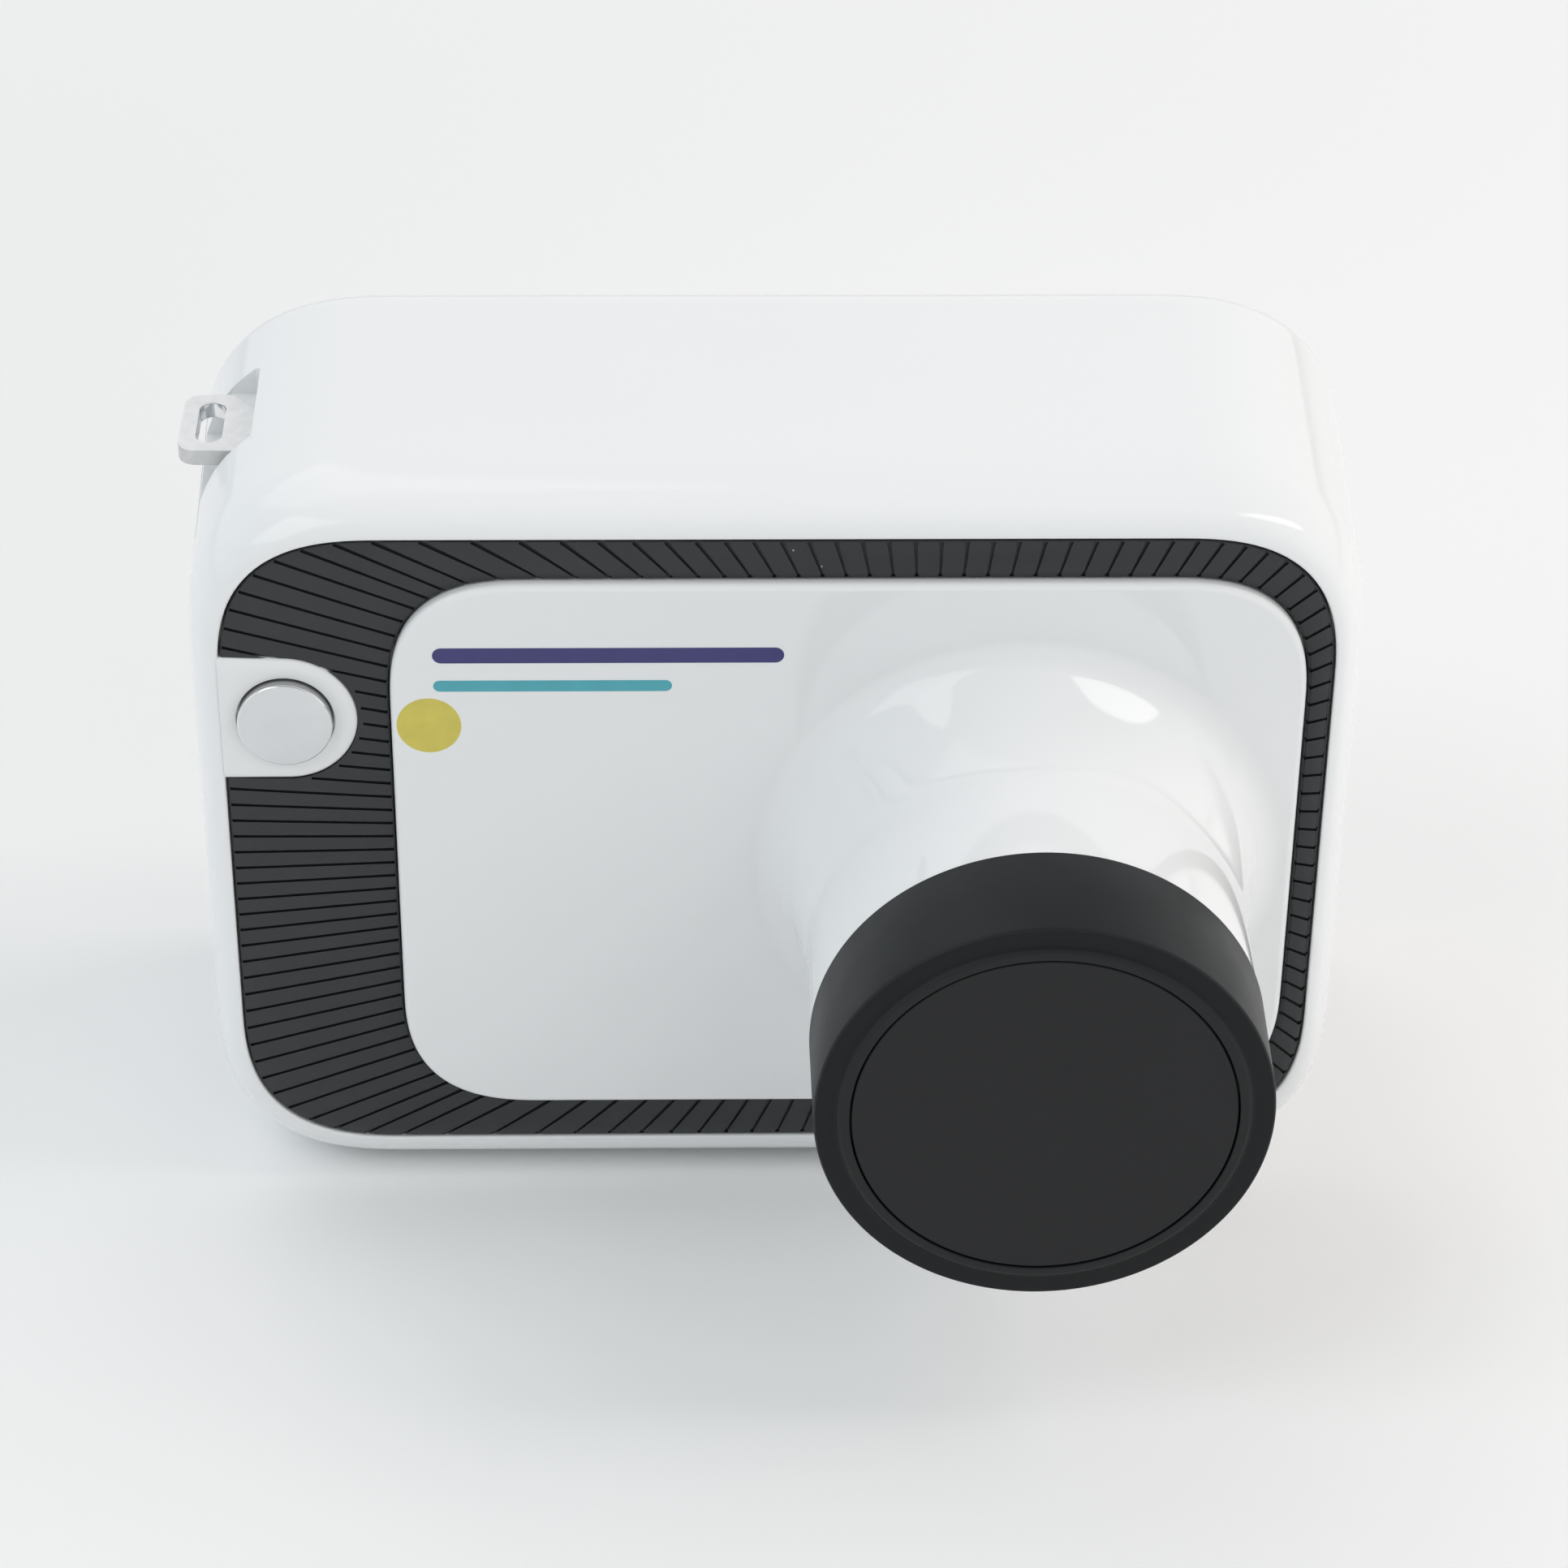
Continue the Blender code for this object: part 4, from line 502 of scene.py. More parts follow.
class Graph:
    """A node tree to which nodes are added together with what feeds them."""

    def __init__(self, tree: bpy.types.NodeTree) -> None:
        """Wrap a tree.

        Args:
            tree: The tree.
        """
        self.tree = tree

    def feed(self, node: bpy.types.Node, feeds: Feeds) -> None:
        """Link each input to its socket or to a list of sockets, or set it to its plain value."""
        for slot, given in feeds.items():
            for value in given if isinstance(given, list) else [given]:
                if isinstance(value, bpy.types.NodeSocket):
                    self.tree.links.new(value, node.inputs[slot])
                else:
                    node.inputs[slot].default_value = value

    def node(self, kind: str, feeds: Feeds | None = None, **settings: object) -> bpy.types.Node:
        """Add a node.

        Args:
            kind: The node's type.
            feeds: What feeds each of its inputs.
            settings: The node's own properties.

        Returns:
            The node.
        """
        made = self.tree.nodes.new(kind)
        for name, value in settings.items():
            setattr(made, name, value)
        self.feed(made, feeds or {})
        return made

    def calc(self, operation: str, first: object, second: object) -> Socket:
        """Return the result of an operation on two sockets or numbers."""
        return self.node("ShaderNodeMath", {0: first, 1: second}, operation=operation).outputs[0]

    def blend(self, factor: Socket, first: object, second: object) -> Socket:
        """Return the colour that lies between two sockets or plain colours."""
        mix = self.node("ShaderNodeMix", {"Factor": factor, "A": first, "B": second}, data_type="RGBA")
        return mix.outputs["Result"]


class Effect(Enum):
    """Shader node groups that the finishes share."""

    GRAIN = "Surface grain"
    MOTTLE = "Soft mottle"
    SPECKS = "Specks"
    BRUSHED = "Brushed lines"


class Effects:
    """Builds the shared shader groups, once each."""

    made: dict[Effect, bpy.types.ShaderNodeTree] = {}

    @classmethod
    def get(cls, effect: Effect) -> bpy.types.ShaderNodeTree:
        """Return the group of an effect."""
        if effect not in cls.made:
            inputs, output, builder = {
                Effect.GRAIN: ({"Scale": 2500.0, "Detail": 2.0}, "Height", cls._grain),
                Effect.MOTTLE: ({"Scale": 30.0, "Low": 0.0, "High": 1.0}, "Value", cls._mottle),
                Effect.SPECKS: ({"Scale": 400.0, "Size": 0.12, "Share": 0.1}, "Mask", cls._specks),
                Effect.BRUSHED: ({"Scale": 1500.0, "Stretch": 0.03}, "Height", cls._brushed)}[effect]
            graph = Graph(bpy.data.node_groups.new(effect.value, "ShaderNodeTree"))
            for name, value in inputs.items():
                socket = graph.tree.interface.new_socket(name, in_out="INPUT", socket_type="NodeSocketFloat")
                socket.default_value = value
            graph.tree.interface.new_socket(output, in_out="OUTPUT", socket_type="NodeSocketFloat")
            give = graph.node("NodeGroupInput").outputs
            place = graph.node("ShaderNodeTexCoord").outputs["Object"]
            graph.node("NodeGroupOutput", {output: builder(graph, give, place)})
            cls.made[effect] = graph.tree
        return cls.made[effect]

    @staticmethod
    def _grain(graph: Graph, give: Sockets, place: Socket) -> Socket:
        """Return fine noise whose size and sharpness are inputs."""
        return graph.node("ShaderNodeTexNoise", {"Vector": place, "Scale": give["Scale"],
                                                 "Detail": give["Detail"]}).outputs["Fac"]

    @staticmethod
    def _mottle(graph: Graph, give: Sockets, place: Socket) -> Socket:
        """Return slow noise between two values, for roughness and tone."""
        noise = graph.node("ShaderNodeTexNoise", {"Vector": place, "Scale": give["Scale"], "Detail": 4.0})
        return graph.node("ShaderNodeMapRange", {"Value": noise.outputs["Fac"], "From Min": 0.3, "From Max": 0.7,
                                                 "To Min": give["Low"], "To Max": give["High"]}).outputs["Result"]

    @staticmethod
    def _specks(graph: Graph, give: Sockets, place: Socket) -> Socket:
        """Return sparse round dots: a cell shows its dot only where its random value is low enough."""
        cells = graph.node("ShaderNodeTexVoronoi", {"Vector": place, "Scale": give["Scale"]}).outputs
        chance = graph.node("ShaderNodeSeparateColor", {"Color": cells["Color"]}).outputs["Red"]
        return graph.calc("MULTIPLY", graph.calc("LESS_THAN", cells["Distance"], give["Size"]),
                          graph.calc("LESS_THAN", chance, give["Share"]))

    @staticmethod
    def _brushed(graph: Graph, give: Sockets, place: Socket) -> Socket:
        """Return noise drawn out along X, as on a brushed or rolled surface."""
        squeeze = graph.node("ShaderNodeCombineXYZ", {"X": give["Stretch"], "Y": 1.0, "Z": 1.0})
        shaped = graph.node("ShaderNodeVectorMath", {0: place, 1: squeeze.outputs["Vector"]}, operation="MULTIPLY")
        return graph.node("ShaderNodeTexNoise", {"Vector": shaped.outputs["Vector"],
                                                 "Scale": give["Scale"]}).outputs["Fac"]


# Finishes


@dataclass(frozen=True)
class Finish:
    """A surface finish: a Principled shader whose tone, gloss and grain vary over the surface."""

    name: str
    colour: Colour
    roughness: tuple[float, float]
    metallic: float = 0.0
    tone: float = 0.04
    mottle: float = 40.0
    # How much finer the gloss varies than the tone
    gloss_pace: float = 1.7
    grain: float = 2500.0
    detail: float = 2.0
    relief: float = 0.00001
    strength: float = 0.3
    specks: Colour | None = None
    # Cells per metre, size of a dot in its cell and share of the cells that have one
    speck_cells: Triple = (400.0, 0.12, 0.06)
    coat: float = 0.0
    coat_roughness: float = 0.03
    brushed: bool = False
    ior: float = 1.5
    specular: float = 0.5
    transmission: float = 0.0

    def group(self, graph: Graph, effect: Effect, **values: float) -> Socket:
        """Place an effect's group in a material.

        Args:
            graph: The material's tree.
            effect: The effect.
            values: The group's inputs.

        Returns:
            The group's output.
        """
        return graph.node("ShaderNodeGroup", values, node_tree=Effects.get(effect)).outputs[0]

    def colours(self, graph: Graph) -> Socket:
        """Return the socket that gives the surface its colour."""
        drift = self.group(graph, Effect.MOTTLE, Scale=self.mottle)
        low, high = (solid(min(1.0, c * (1 + way * self.tone)) for c in self.colour) for way in (-1, 1))
        base = graph.blend(drift, low, high)
        if self.specks is None:
            return base
        cells, size, share = self.speck_cells
        dots = self.group(graph, Effect.SPECKS, Scale=cells, Size=size, Share=share)
        return graph.blend(dots, base, solid(self.specks))

    def height(self, graph: Graph) -> Socket:
        """Return the socket that gives the surface its relief."""
        if self.brushed:
            return self.group(graph, Effect.BRUSHED, Scale=self.grain)
        return self.group(graph, Effect.GRAIN, Scale=self.grain, Detail=self.detail)

    def material(self) -> bpy.types.Material:
        """Return the finish's material, built at its first use."""
        if self.name in bpy.data.materials:
            return bpy.data.materials[self.name]
        made = bpy.data.materials.new(self.name)
        made.use_nodes = True
        graph = Graph(made.node_tree)
        gloss = self.group(graph, Effect.MOTTLE, Scale=self.mottle * self.gloss_pace, Low=self.roughness[0],
                           High=self.roughness[1])
        bump = graph.node("ShaderNodeBump", {"Strength": self.strength, "Distance": self.relief,
                                             "Height": self.height(graph)})
        graph.feed(graph.tree.nodes["Principled BSDF"], {
            "Base Color": self.colours(graph), "Roughness": gloss, "Normal": bump.outputs["Normal"],
            "Metallic": self.metallic, "IOR": self.ior, "Specular IOR Level": self.specular,
            "Transmission Weight": self.transmission, "Coat Weight": self.coat,
            "Coat Roughness": self.coat_roughness})
        return made

    def dress(self, piece: Piece) -> None:
        """Give a piece this finish all over."""
        piece.data.materials.clear()
        piece.data.materials.append(self.material())

    def repaint(self, node: Piece) -> None:
        """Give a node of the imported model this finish, in the slots that it has."""
        for slot in node.material_slots:
            slot.material = self.material()


@dataclass(frozen=True)
class BoardFinish(Finish):
    """Green circuit board with tracks and solder pads."""

    track_cells: float = 225.0
    track_width: float = 0.07
    track_colour: Colour = (0.07, 0.30, 0.16)

    def colours(self, graph: Graph) -> Socket:
        """Return the board's green, with lighter tracks and tin dots."""
        place = graph.node("ShaderNodeTexCoord").outputs["Object"]
        cells = graph.node("ShaderNodeTexVoronoi", {"Vector": place, "Scale": self.track_cells},
                           feature="DISTANCE_TO_EDGE")
        tracks = graph.calc("LESS_THAN", cells.outputs["Distance"], self.track_width)
        return graph.blend(tracks, super().colours(graph), solid(self.track_colour))


@dataclass(frozen=True)
class ScreenFinish(Finish):
    """Display glass: a black printed border round a window with the dark screen behind it."""

    centre: Point = (0.018, 0.078)
    half: Point = (0.0355, 0.0262)
    screen: Colour = (0.016, 0.020, 0.026)

    def colours(self, graph: Graph) -> Socket:
        """Return the border's black, with the screen's tone inside the window."""
        place = graph.node("ShaderNodeTexCoord").outputs["Object"]
        axes = graph.node("ShaderNodeSeparateXYZ", {0: place}).outputs
        across, up = (graph.node("ShaderNodeMath", {0: axes[axis], 1: middle, 2: half}, operation="COMPARE")
                      for axis, middle, half in zip("XZ", self.centre, self.half))
        window = graph.calc("MULTIPLY", across.outputs[0], up.outputs[0])
        return graph.blend(window, super().colours(graph), solid(self.screen))


GLOSS_WHITE = Finish("gloss_white_moulding", (0.86, 0.868, 0.875), (0.07, 0.11), tone=0.006, mottle=18.0,
                     grain=900.0, relief=0.000003, strength=0.08)
PANEL_WHITE = Finish("panel_white_moulding", (0.86, 0.868, 0.875), (0.045, 0.07), tone=0.006, mottle=20.0,
                     grain=1100.0, relief=0.000003, strength=0.08)
RIBBED_RUBBER = Finish("charcoal_rubber", (0.018, 0.0198, 0.022), (0.42, 0.50), tone=0.07, mottle=90.0,
                       grain=5200.0, detail=3.0, relief=0.00003, strength=0.35, specks=(0.34, 0.34, 0.33),
                       speck_cells=(420.0, 0.07, 0.010))
SATIN_BLACK = Finish("satin_black_moulding", (0.0075, 0.0092, 0.0100), (0.42, 0.48), tone=0.05, mottle=60.0,
                     grain=6500.0, detail=2.5, relief=0.00002, strength=0.25, specular=0.28)
RING_BLACK = replace(SATIN_BLACK, name="ring_black_moulding", colour=(0.0060, 0.0068, 0.0078), specular=0.2)
WINDOW_BLACK = Finish("window_black_moulding", (0.0095, 0.0098, 0.0112), (0.40, 0.46), tone=0.04, mottle=50.0,
                      grain=7500.0, detail=2.0, relief=0.000012, strength=0.2, specular=0.28)
SATIN_SILVER = Finish("satin_silver_cap", (0.72, 0.73, 0.745), (0.36, 0.44), metallic=0.8, tone=0.02,
                      mottle=160.0, grain=7000.0, detail=3.0, relief=0.00001, strength=0.3,
                      specks=(0.40, 0.41, 0.42), speck_cells=(500.0, 0.08, 0.012))
POLISHED_SILVER = Finish("polished_silver_edge", (0.80, 0.81, 0.82), (0.10, 0.16), metallic=1.0, tone=0.02,
                         mottle=160.0, grain=7000.0, relief=0.000004, strength=0.1)
# A rougher, darker copy of the polished silver for the button's side: the rougher finish is real, the darker colour is
# painted shade down the side wall
SHADED_TURNED_SILVER = replace(POLISHED_SILVER, name="turned_silver_side", colour=(0.50, 0.505, 0.51),
                        roughness=(0.28, 0.36))
BLASTED_ALUMINIUM = Finish("blasted_aluminium", (0.91, 0.92, 0.925), (0.40, 0.52), metallic=0.8, tone=0.04,
                           mottle=420.0, grain=5200.0, detail=4.0, relief=0.00003, strength=0.45,
                           specks=(0.45, 0.43, 0.42), speck_cells=(3200.0, 0.22, 0.05))
# Sawn edge texture and specks are real; the darker colour is painted shade on the plate's upright sides
SAWN_AND_SHADED_ALUMINIUM = replace(BLASTED_ALUMINIUM, name="sawn_aluminium", colour=(0.65, 0.655, 0.66), strength=0.8,
                         speck_cells=(4200.0, 0.24, 0.12))
PLAIN_STEEL = Finish("plain_steel", (0.55, 0.56, 0.58), (0.26, 0.36), metallic=1.0, tone=0.05, mottle=120.0,
                     grain=2600.0, relief=0.00001, brushed=True)
DULL_LEAD = Finish("dull_lead", (0.26, 0.27, 0.29), (0.5, 0.65), metallic=0.9, tone=0.12, mottle=80.0,
                   grain=900.0, detail=4.0, relief=0.00006)
BARE_COPPER = Finish("bare_copper", (0.74, 0.40, 0.25), (0.28, 0.42), metallic=1.0, tone=0.08, mottle=100.0,
                     grain=2200.0, relief=0.00002, brushed=True)
TURNED_BRASS = Finish("turned_brass", (0.78, 0.62, 0.33), (0.24, 0.34), metallic=1.0, tone=0.06, mottle=140.0,
                      grain=3000.0, relief=0.00001, brushed=True)
TUBE_GLASS = Finish("tube_glass", (0.90, 0.95, 0.95), (0.02, 0.05), tone=0.01, relief=0.000002, strength=0.05,
                    transmission=0.9, ior=1.47)
COVER_GLASS = ScreenFinish("cover_glass", (0.004, 0.004, 0.005), (0.03, 0.06), tone=0.05, mottle=30.0,
                           grain=300.0, relief=0.000002, strength=0.05)
CIRCUIT_GREEN = BoardFinish("circuit_green", (0.025, 0.17, 0.08), (0.30, 0.42), tone=0.08, mottle=160.0,
                            grain=3000.0, relief=0.00002, specks=(0.62, 0.62, 0.60),
                            speck_cells=(420.0, 0.22, 0.25))
SINTERED_FERRITE = Finish("sintered_ferrite", (0.06, 0.06, 0.066), (0.55, 0.7), tone=0.12, mottle=120.0,
                          grain=2600.0, detail=4.0, relief=0.00005)
CELL_WRAP = Finish("cell_wrap", (0.04, 0.12, 0.36), (0.16, 0.26), tone=0.06, mottle=60.0, grain=500.0,
                   detail=3.0, relief=0.00004, coat=0.4)
CAST_RESIN = Finish("cast_resin", (0.34, 0.20, 0.09), (0.22, 0.36), tone=0.10, mottle=70.0, grain=700.0,
                    relief=0.00003)
GREY_MOULDING = Finish("grey_moulding", (0.40, 0.42, 0.44), (0.38, 0.48), tone=0.03, mottle=90.0, grain=4200.0,
                       relief=0.00002)
# Dark grey painted onto the faces in the battery door's seam: painted shade for the dark gap
SEAM_PAINTED_SHADE = replace(GREY_MOULDING, name="seam_shade", colour=(0.13, 0.135, 0.14))
YELLOW_PRINT = Finish("yellow_print", (0.65, 0.56, 0.10), (0.30, 0.38), tone=0.05, mottle=300.0,
                      grain=5200.0, relief=0.00001)
INDIGO_PRINT = Finish("indigo_print", (0.040, 0.037, 0.17), (0.28, 0.36), tone=0.05, mottle=220.0,
                      grain=5200.0, relief=0.00001)
SIGN_PRINT = Finish("key_print", (0.80, 0.81, 0.82), (0.35, 0.45), tone=0.04, mottle=300.0, grain=5200.0,
                    relief=0.00001)
TEAL_PRINT = Finish("teal_print", (0.075, 0.40, 0.47), (0.28, 0.36), tone=0.05, mottle=220.0, grain=5200.0,
                    relief=0.00001)


# Geometry Nodes tools


class NodeTool(Graph):
    """A Geometry Nodes tree with named inputs, run on an object and turned into a plain mesh."""

    def __init__(self, name: str, inputs: dict[str, tuple[str, object]]) -> None:
        """Start the tree.

        Args:
            name: The tree's name.
            inputs: Socket type and default of each named input besides the geometry.
        """
        super().__init__(bpy.data.node_groups.new(name, "GeometryNodeTree"))
        self.tree.is_modifier = True
        face = self.tree.interface
        face.new_socket("Geometry", in_out="INPUT", socket_type="NodeSocketGeometry")
        self.keys: dict[str, str] = {}
        for label, (kind, value) in inputs.items():
            socket = face.new_socket(label, in_out="INPUT", socket_type=kind)
            if value is not None:
                socket.default_value = value
            self.keys[label] = socket.identifier
        face.new_socket("Geometry", in_out="OUTPUT", socket_type="NodeSocketGeometry")
        self.give = self.node("NodeGroupInput").outputs

    def boolean(self, operation: str, tools: object, base: Socket | None = None) -> Socket:
        """Return an exact combination of meshes, or of a base with tools."""
        feeds = {"Mesh 2": tools} if base is None else {"Mesh 1": base, "Mesh 2": tools}
        return self.node("GeometryNodeMeshBoolean", feeds, operation=operation, solver="EXACT").outputs["Mesh"]

    def close(self, geometry: Socket) -> None:
        """End the tree in Realize Instances and Set Material."""
        real = self.node("GeometryNodeRealizeInstances", {"Geometry": geometry})
        dressed = self.node("GeometryNodeSetMaterial", {"Geometry": real.outputs[0],
                                                        "Material": self.give["Material"]})
        self.node("NodeGroupOutput", {0: dressed.outputs[0]})

    def run(self, piece: Piece, finish: Finish, **values: object) -> None:
        """Run the tree on a piece and keep the result as its plain mesh.

        Args:
            piece: The object that carries the geometry.
            finish: The finish that the tree sets.
            values: The named inputs, with underscores for spaces.
        """
        step = piece.modifiers.new("nodes", "NODES")
        step.node_group = self.tree
        for name, value in values.items():
            step[self.keys[name.replace("_", " ")]] = value
        step[self.keys["Material"]] = finish.material()
        Meshes.settle(piece)


# Sub-assemblies


@dataclass
class Shell:
    """White one-piece housing and the battery door in its left side."""

    rim_edge: float = 0.0004
    # Turn of the front roll at which the rim's edge ends
    rim_turn: float = 0.12
    roll_steps: int = 18
    side_steps: int = 4
    rear_steps: int = 10
    pocket_wall: float = -0.0902
    pocket_front: float = -0.00765
    pocket_back: float = 0.01575
    pocket_floor: float = 0.1249
    pocket_corner: float = 0.0012
    ledge_left: float = -0.0955
    ledge_drop: float = 0.001
    door_floor: float = -0.098
    door_front: float = 0.012
    door_back: float = 0.003
    door_low: float = 0.018
    door_high: float = 0.1238
    door_corner: float = 0.018
    door_gap: float = 0.00042
    mouth_front: float = 0.0286
    mouth_back: float = 0.0686
    mouth_low: float = 0.026
    mouth_high: float = 0.098
    edge: float = 0.0003
    door_edge: float = 0.0002
    door_foot: float = 0.003
    beam_hole: float = 0.035
    stem_hole: float = 0.0033
    slit_length: float = 0.0135
    bush_hole: float = 0.009
    # How far left and how high the cutters reach that are open to the outside
    beyond: Point = (-0.12, 0.16)
    beyond_door: float = -0.108
    # Room round the pocket within which its edges are rounded
    pocket_room: float = 0.0006
    # Start of the inner wall's ridge, which stays sharp: how far out of the wall, and above the floor
    ridge: Point = (0.0001, 0.001)
    # Room below, above and in front of the door for the painted shade in the seam
    seam_room: Triple = (0.001, 0.0008, 0.001)
    # Share of the side's direction below which a face belongs to the seam's walls
    seam_slope: float = 0.3

    def skin(self, first: float) -> list[Ring]:
        """Return the rings of the outer surface from the front roll to the rear edge.

        Args:
            first: Turn of the front roll at which the rings start.

        Returns:
            The rings.
        """
        rings = []
        for step in range(self.roll_steps + 1):
            turn = first + (math.pi / 2 - first) * step / self.roll_steps
            depth, shape = BODY.rolled(turn)
            rings.append(shape.ring(depth))
        for step in range(1, self.side_steps + 1):
            depth = BODY.front_roll + (BODY.roll_start - BODY.front_roll) * step / self.side_steps
            rings.append(BODY.sides(depth).ring(depth))
        for step in range(1, self.rear_steps + 1):
            depth = BODY.roll_start + BODY.rear_roll * math.sin(math.pi / 2 * step / self.rear_steps)
            rings.append(BODY.sides(depth).ring(depth))
        return rings

    def rim(self) -> list[Ring]:
        """Return the rings that lead from the recess floor over the rounded rim edge."""
        shape, edge = BODY.band, self.rim_edge
        return [shape.ring(BODY.recess), *(shape.grown(edge * run).ring(edge * rise) for run, rise in quarter(4))]

    def lip(self) -> list[Ring]:
        """Return the rings from the rear edge down to the ledge."""
        shape = BODY.rear_outline
        rings = [shape.grown(self.edge * rise).ring(BODY.depth - self.edge * run) for run, rise in quarter(3)]
        return rings + [shape.ring(BODY.ledge_face)]

    def hollow(self) -> Piece:
        """Return the cutter for the space inside the walls."""
        rings = []
        inner = BODY.recess + BODY.front_wall
        back = BODY.ledge_face - BODY.ledge_thickness
        for depth in (inner, (inner + BODY.front_roll) / 2, BODY.front_roll, BODY.roll_start, back):
            if depth < BODY.front_roll:
                shape = BODY.rolled(math.acos(1 - depth / BODY.front_roll))[1].grown(-BODY.wall)
            else:
                shape = BODY.sides(depth, BODY.wall)
            rings.append(replace(shape, left=self.door_floor + BODY.wall).ring(depth))
        cutter = Meshes.loft("hollow", rings)
        wall = BODY.wall
        keep = Meshes.box("pocket_walls", (self.beyond[0], self.pocket_front - wall, self.pocket_floor - wall),
                          (self.pocket_wall + wall, self.pocket_back + wall, self.beyond[1]))
        return Meshes.cut(cutter, keep)

    def pocket(self) -> Piece:
        """Return the cutter for the strap lug's pocket, with a rounded inner corner at both ends."""
        radius, (left, high) = self.pocket_corner, self.beyond
        edge = [(left, self.pocket_back), (left, self.pocket_front)]
        for centre_y, start in ((self.pocket_front + radius, 270), (self.pocket_back - radius, 0)):
            edge += arc((self.pocket_wall - radius, centre_y), radius, start, start + 90, 6)
        return Meshes.prism("pocket", edge, self.pocket_floor, high)

    def door_prism(self, name: str, grow: float, back: float, floor: float) -> Piece:
        """Return the door's outline on the side as a prism along X.

        Args:
            name: Name of the cutter.
            grow: How far its edges are moved outwards.
            back: Depth of its rear end.
            floor: X of its inner face.

        Returns:
            The prism.
        """
        front, low, high = self.door_front - grow, self.door_low - grow, self.door_high + grow
        corner, foot = self.door_corner + grow, self.door_foot + grow
        edge = [(back, low), (back, high), *arc((front + corner, high - corner), corner, 90, 180, 16),
                *arc((front + foot, low + foot), foot, 180, 270, 8)]
        return Meshes.loft(name, [[Vector((x, BODY.at(depth), z)) for depth, z in edge]
                                  for x in (self.beyond_door, floor)])

    def housing(self) -> Piece:
        """Build the housing."""
        body = Meshes.loft("housing_shell", self.rim() + self.skin(self.rim_turn) + self.lip(), GLOSS_WHITE)
        ledge = BODY.rear_outline.grown(-BODY.ledge_width)
        back = BODY.ledge_face - BODY.ledge_thickness
        wall_front, wall_back = BODY.recess - BODY.overrun, BODY.recess + BODY.front_wall + BODY.overrun
        tail = StrapLug.back - StrapLug.step
        bush = BaseBush.radius + BODY.gap
        Meshes.cut(
            body, self.hollow(),
            Meshes.loft("rear_opening", [ledge.ring(back - BODY.overrun), ledge.ring(BODY.ledge_face + BODY.overrun)]),
            self.pocket(),
            self.door_prism("door_recess", self.door_gap, BODY.depth + BODY.overrun, self.door_floor),
            Meshes.box("mouth", (self.door_floor - BODY.overrun, BODY.at(self.mouth_front), self.mouth_low),
                       (self.door_floor + BODY.wall + BODY.overrun, BODY.at(self.mouth_back), self.mouth_high)),
            Meshes.turned("beam_hole", (BODY.beam_x, BODY.beam_z),
                          ((self.beam_hole, wall_front), (self.beam_hole, wall_back)), 96),
            Meshes.turned("stem_hole", (BODY.button_x, BODY.button_z),
                          ((self.stem_hole, wall_front), (self.stem_hole, wall_back)), 32),
            Meshes.box("lug_slit",
                       (self.pocket_wall - BODY.gap, StrapLug.front - BODY.gap, StrapLug.low - BODY.gap),
                       (self.pocket_wall + self.slit_length, tail + BODY.gap, StrapLug.top + BODY.gap)),
            Meshes.upright("bush_hole", BaseBush.x, 0.0, ((bush, -BODY.overrun), (bush, self.bush_hole))))
        room, ridge = self.pocket_room, self.ridge

        def near_pocket(point: Vector) -> bool:
            """Say whether a point lies on the pocket's edges, but not on the ridge over its inner wall."""
            return (point.x < self.pocket_wall + room and point.z > self.pocket_floor - room
                    and self.pocket_front - room < point.y < self.pocket_back + room
                    and not (point.x > self.pocket_wall - ridge[0] and point.z > self.pocket_floor + ridge[1]))

        ledge_box = Meshes.box("lug_ledge", (self.ledge_left, tail, self.pocket_floor - BODY.gap),
                               (self.pocket_wall + BODY.gap, self.pocket_back + BODY.gap,
                                StrapLug.top - self.ledge_drop))
        Meshes.combine(body, [ledge_box], "UNION")
        return self.shade_seam(Meshes.ease_edges(body, self.edge, near_pocket))

    def shade_seam(self, piece: Piece) -> Piece:
        """Paint shade onto a piece's faces in the gap round the battery door, in dark grey, and return the piece."""
        piece.data.materials.append(SEAM_PAINTED_SHADE.material())
        low, high, front = self.door_low, self.door_high, self.door_front
        below, above, ahead = self.seam_room
        # Faces in the seam get the dark grey of the painted shade
        for face in piece.data.polygons:
            x, y, z = face.center
            face.material_index = int(abs(face.normal.x) < self.seam_slope and x < self.door_floor + BODY.wall
                                      and low - below < z < high + above
                                      and BODY.at(front - ahead) < y < BODY.at(BODY.roll_start))
        return piece

    def door(self) -> Piece:
        """Build the battery door, which follows the housing's skin."""
        door = Meshes.loft("side_door_cover", self.skin(0.0), GLOSS_WHITE)
        limits = self.door_prism("door_limits", BODY.gap - self.door_gap, BODY.depth - self.door_back,
                                 self.door_floor - BODY.gap)
        Meshes.combine(door, [limits], "INTERSECT")
        return self.shade_seam(Meshes.ease_edges(door, self.door_edge))

    def build(self) -> None:
        """Build and hand over both pieces."""
        hand_over(self.housing(), UNIT, "white_plastic", "housing")
        hand_over(self.door(), "side_door", "white_plastic", "battery_door")


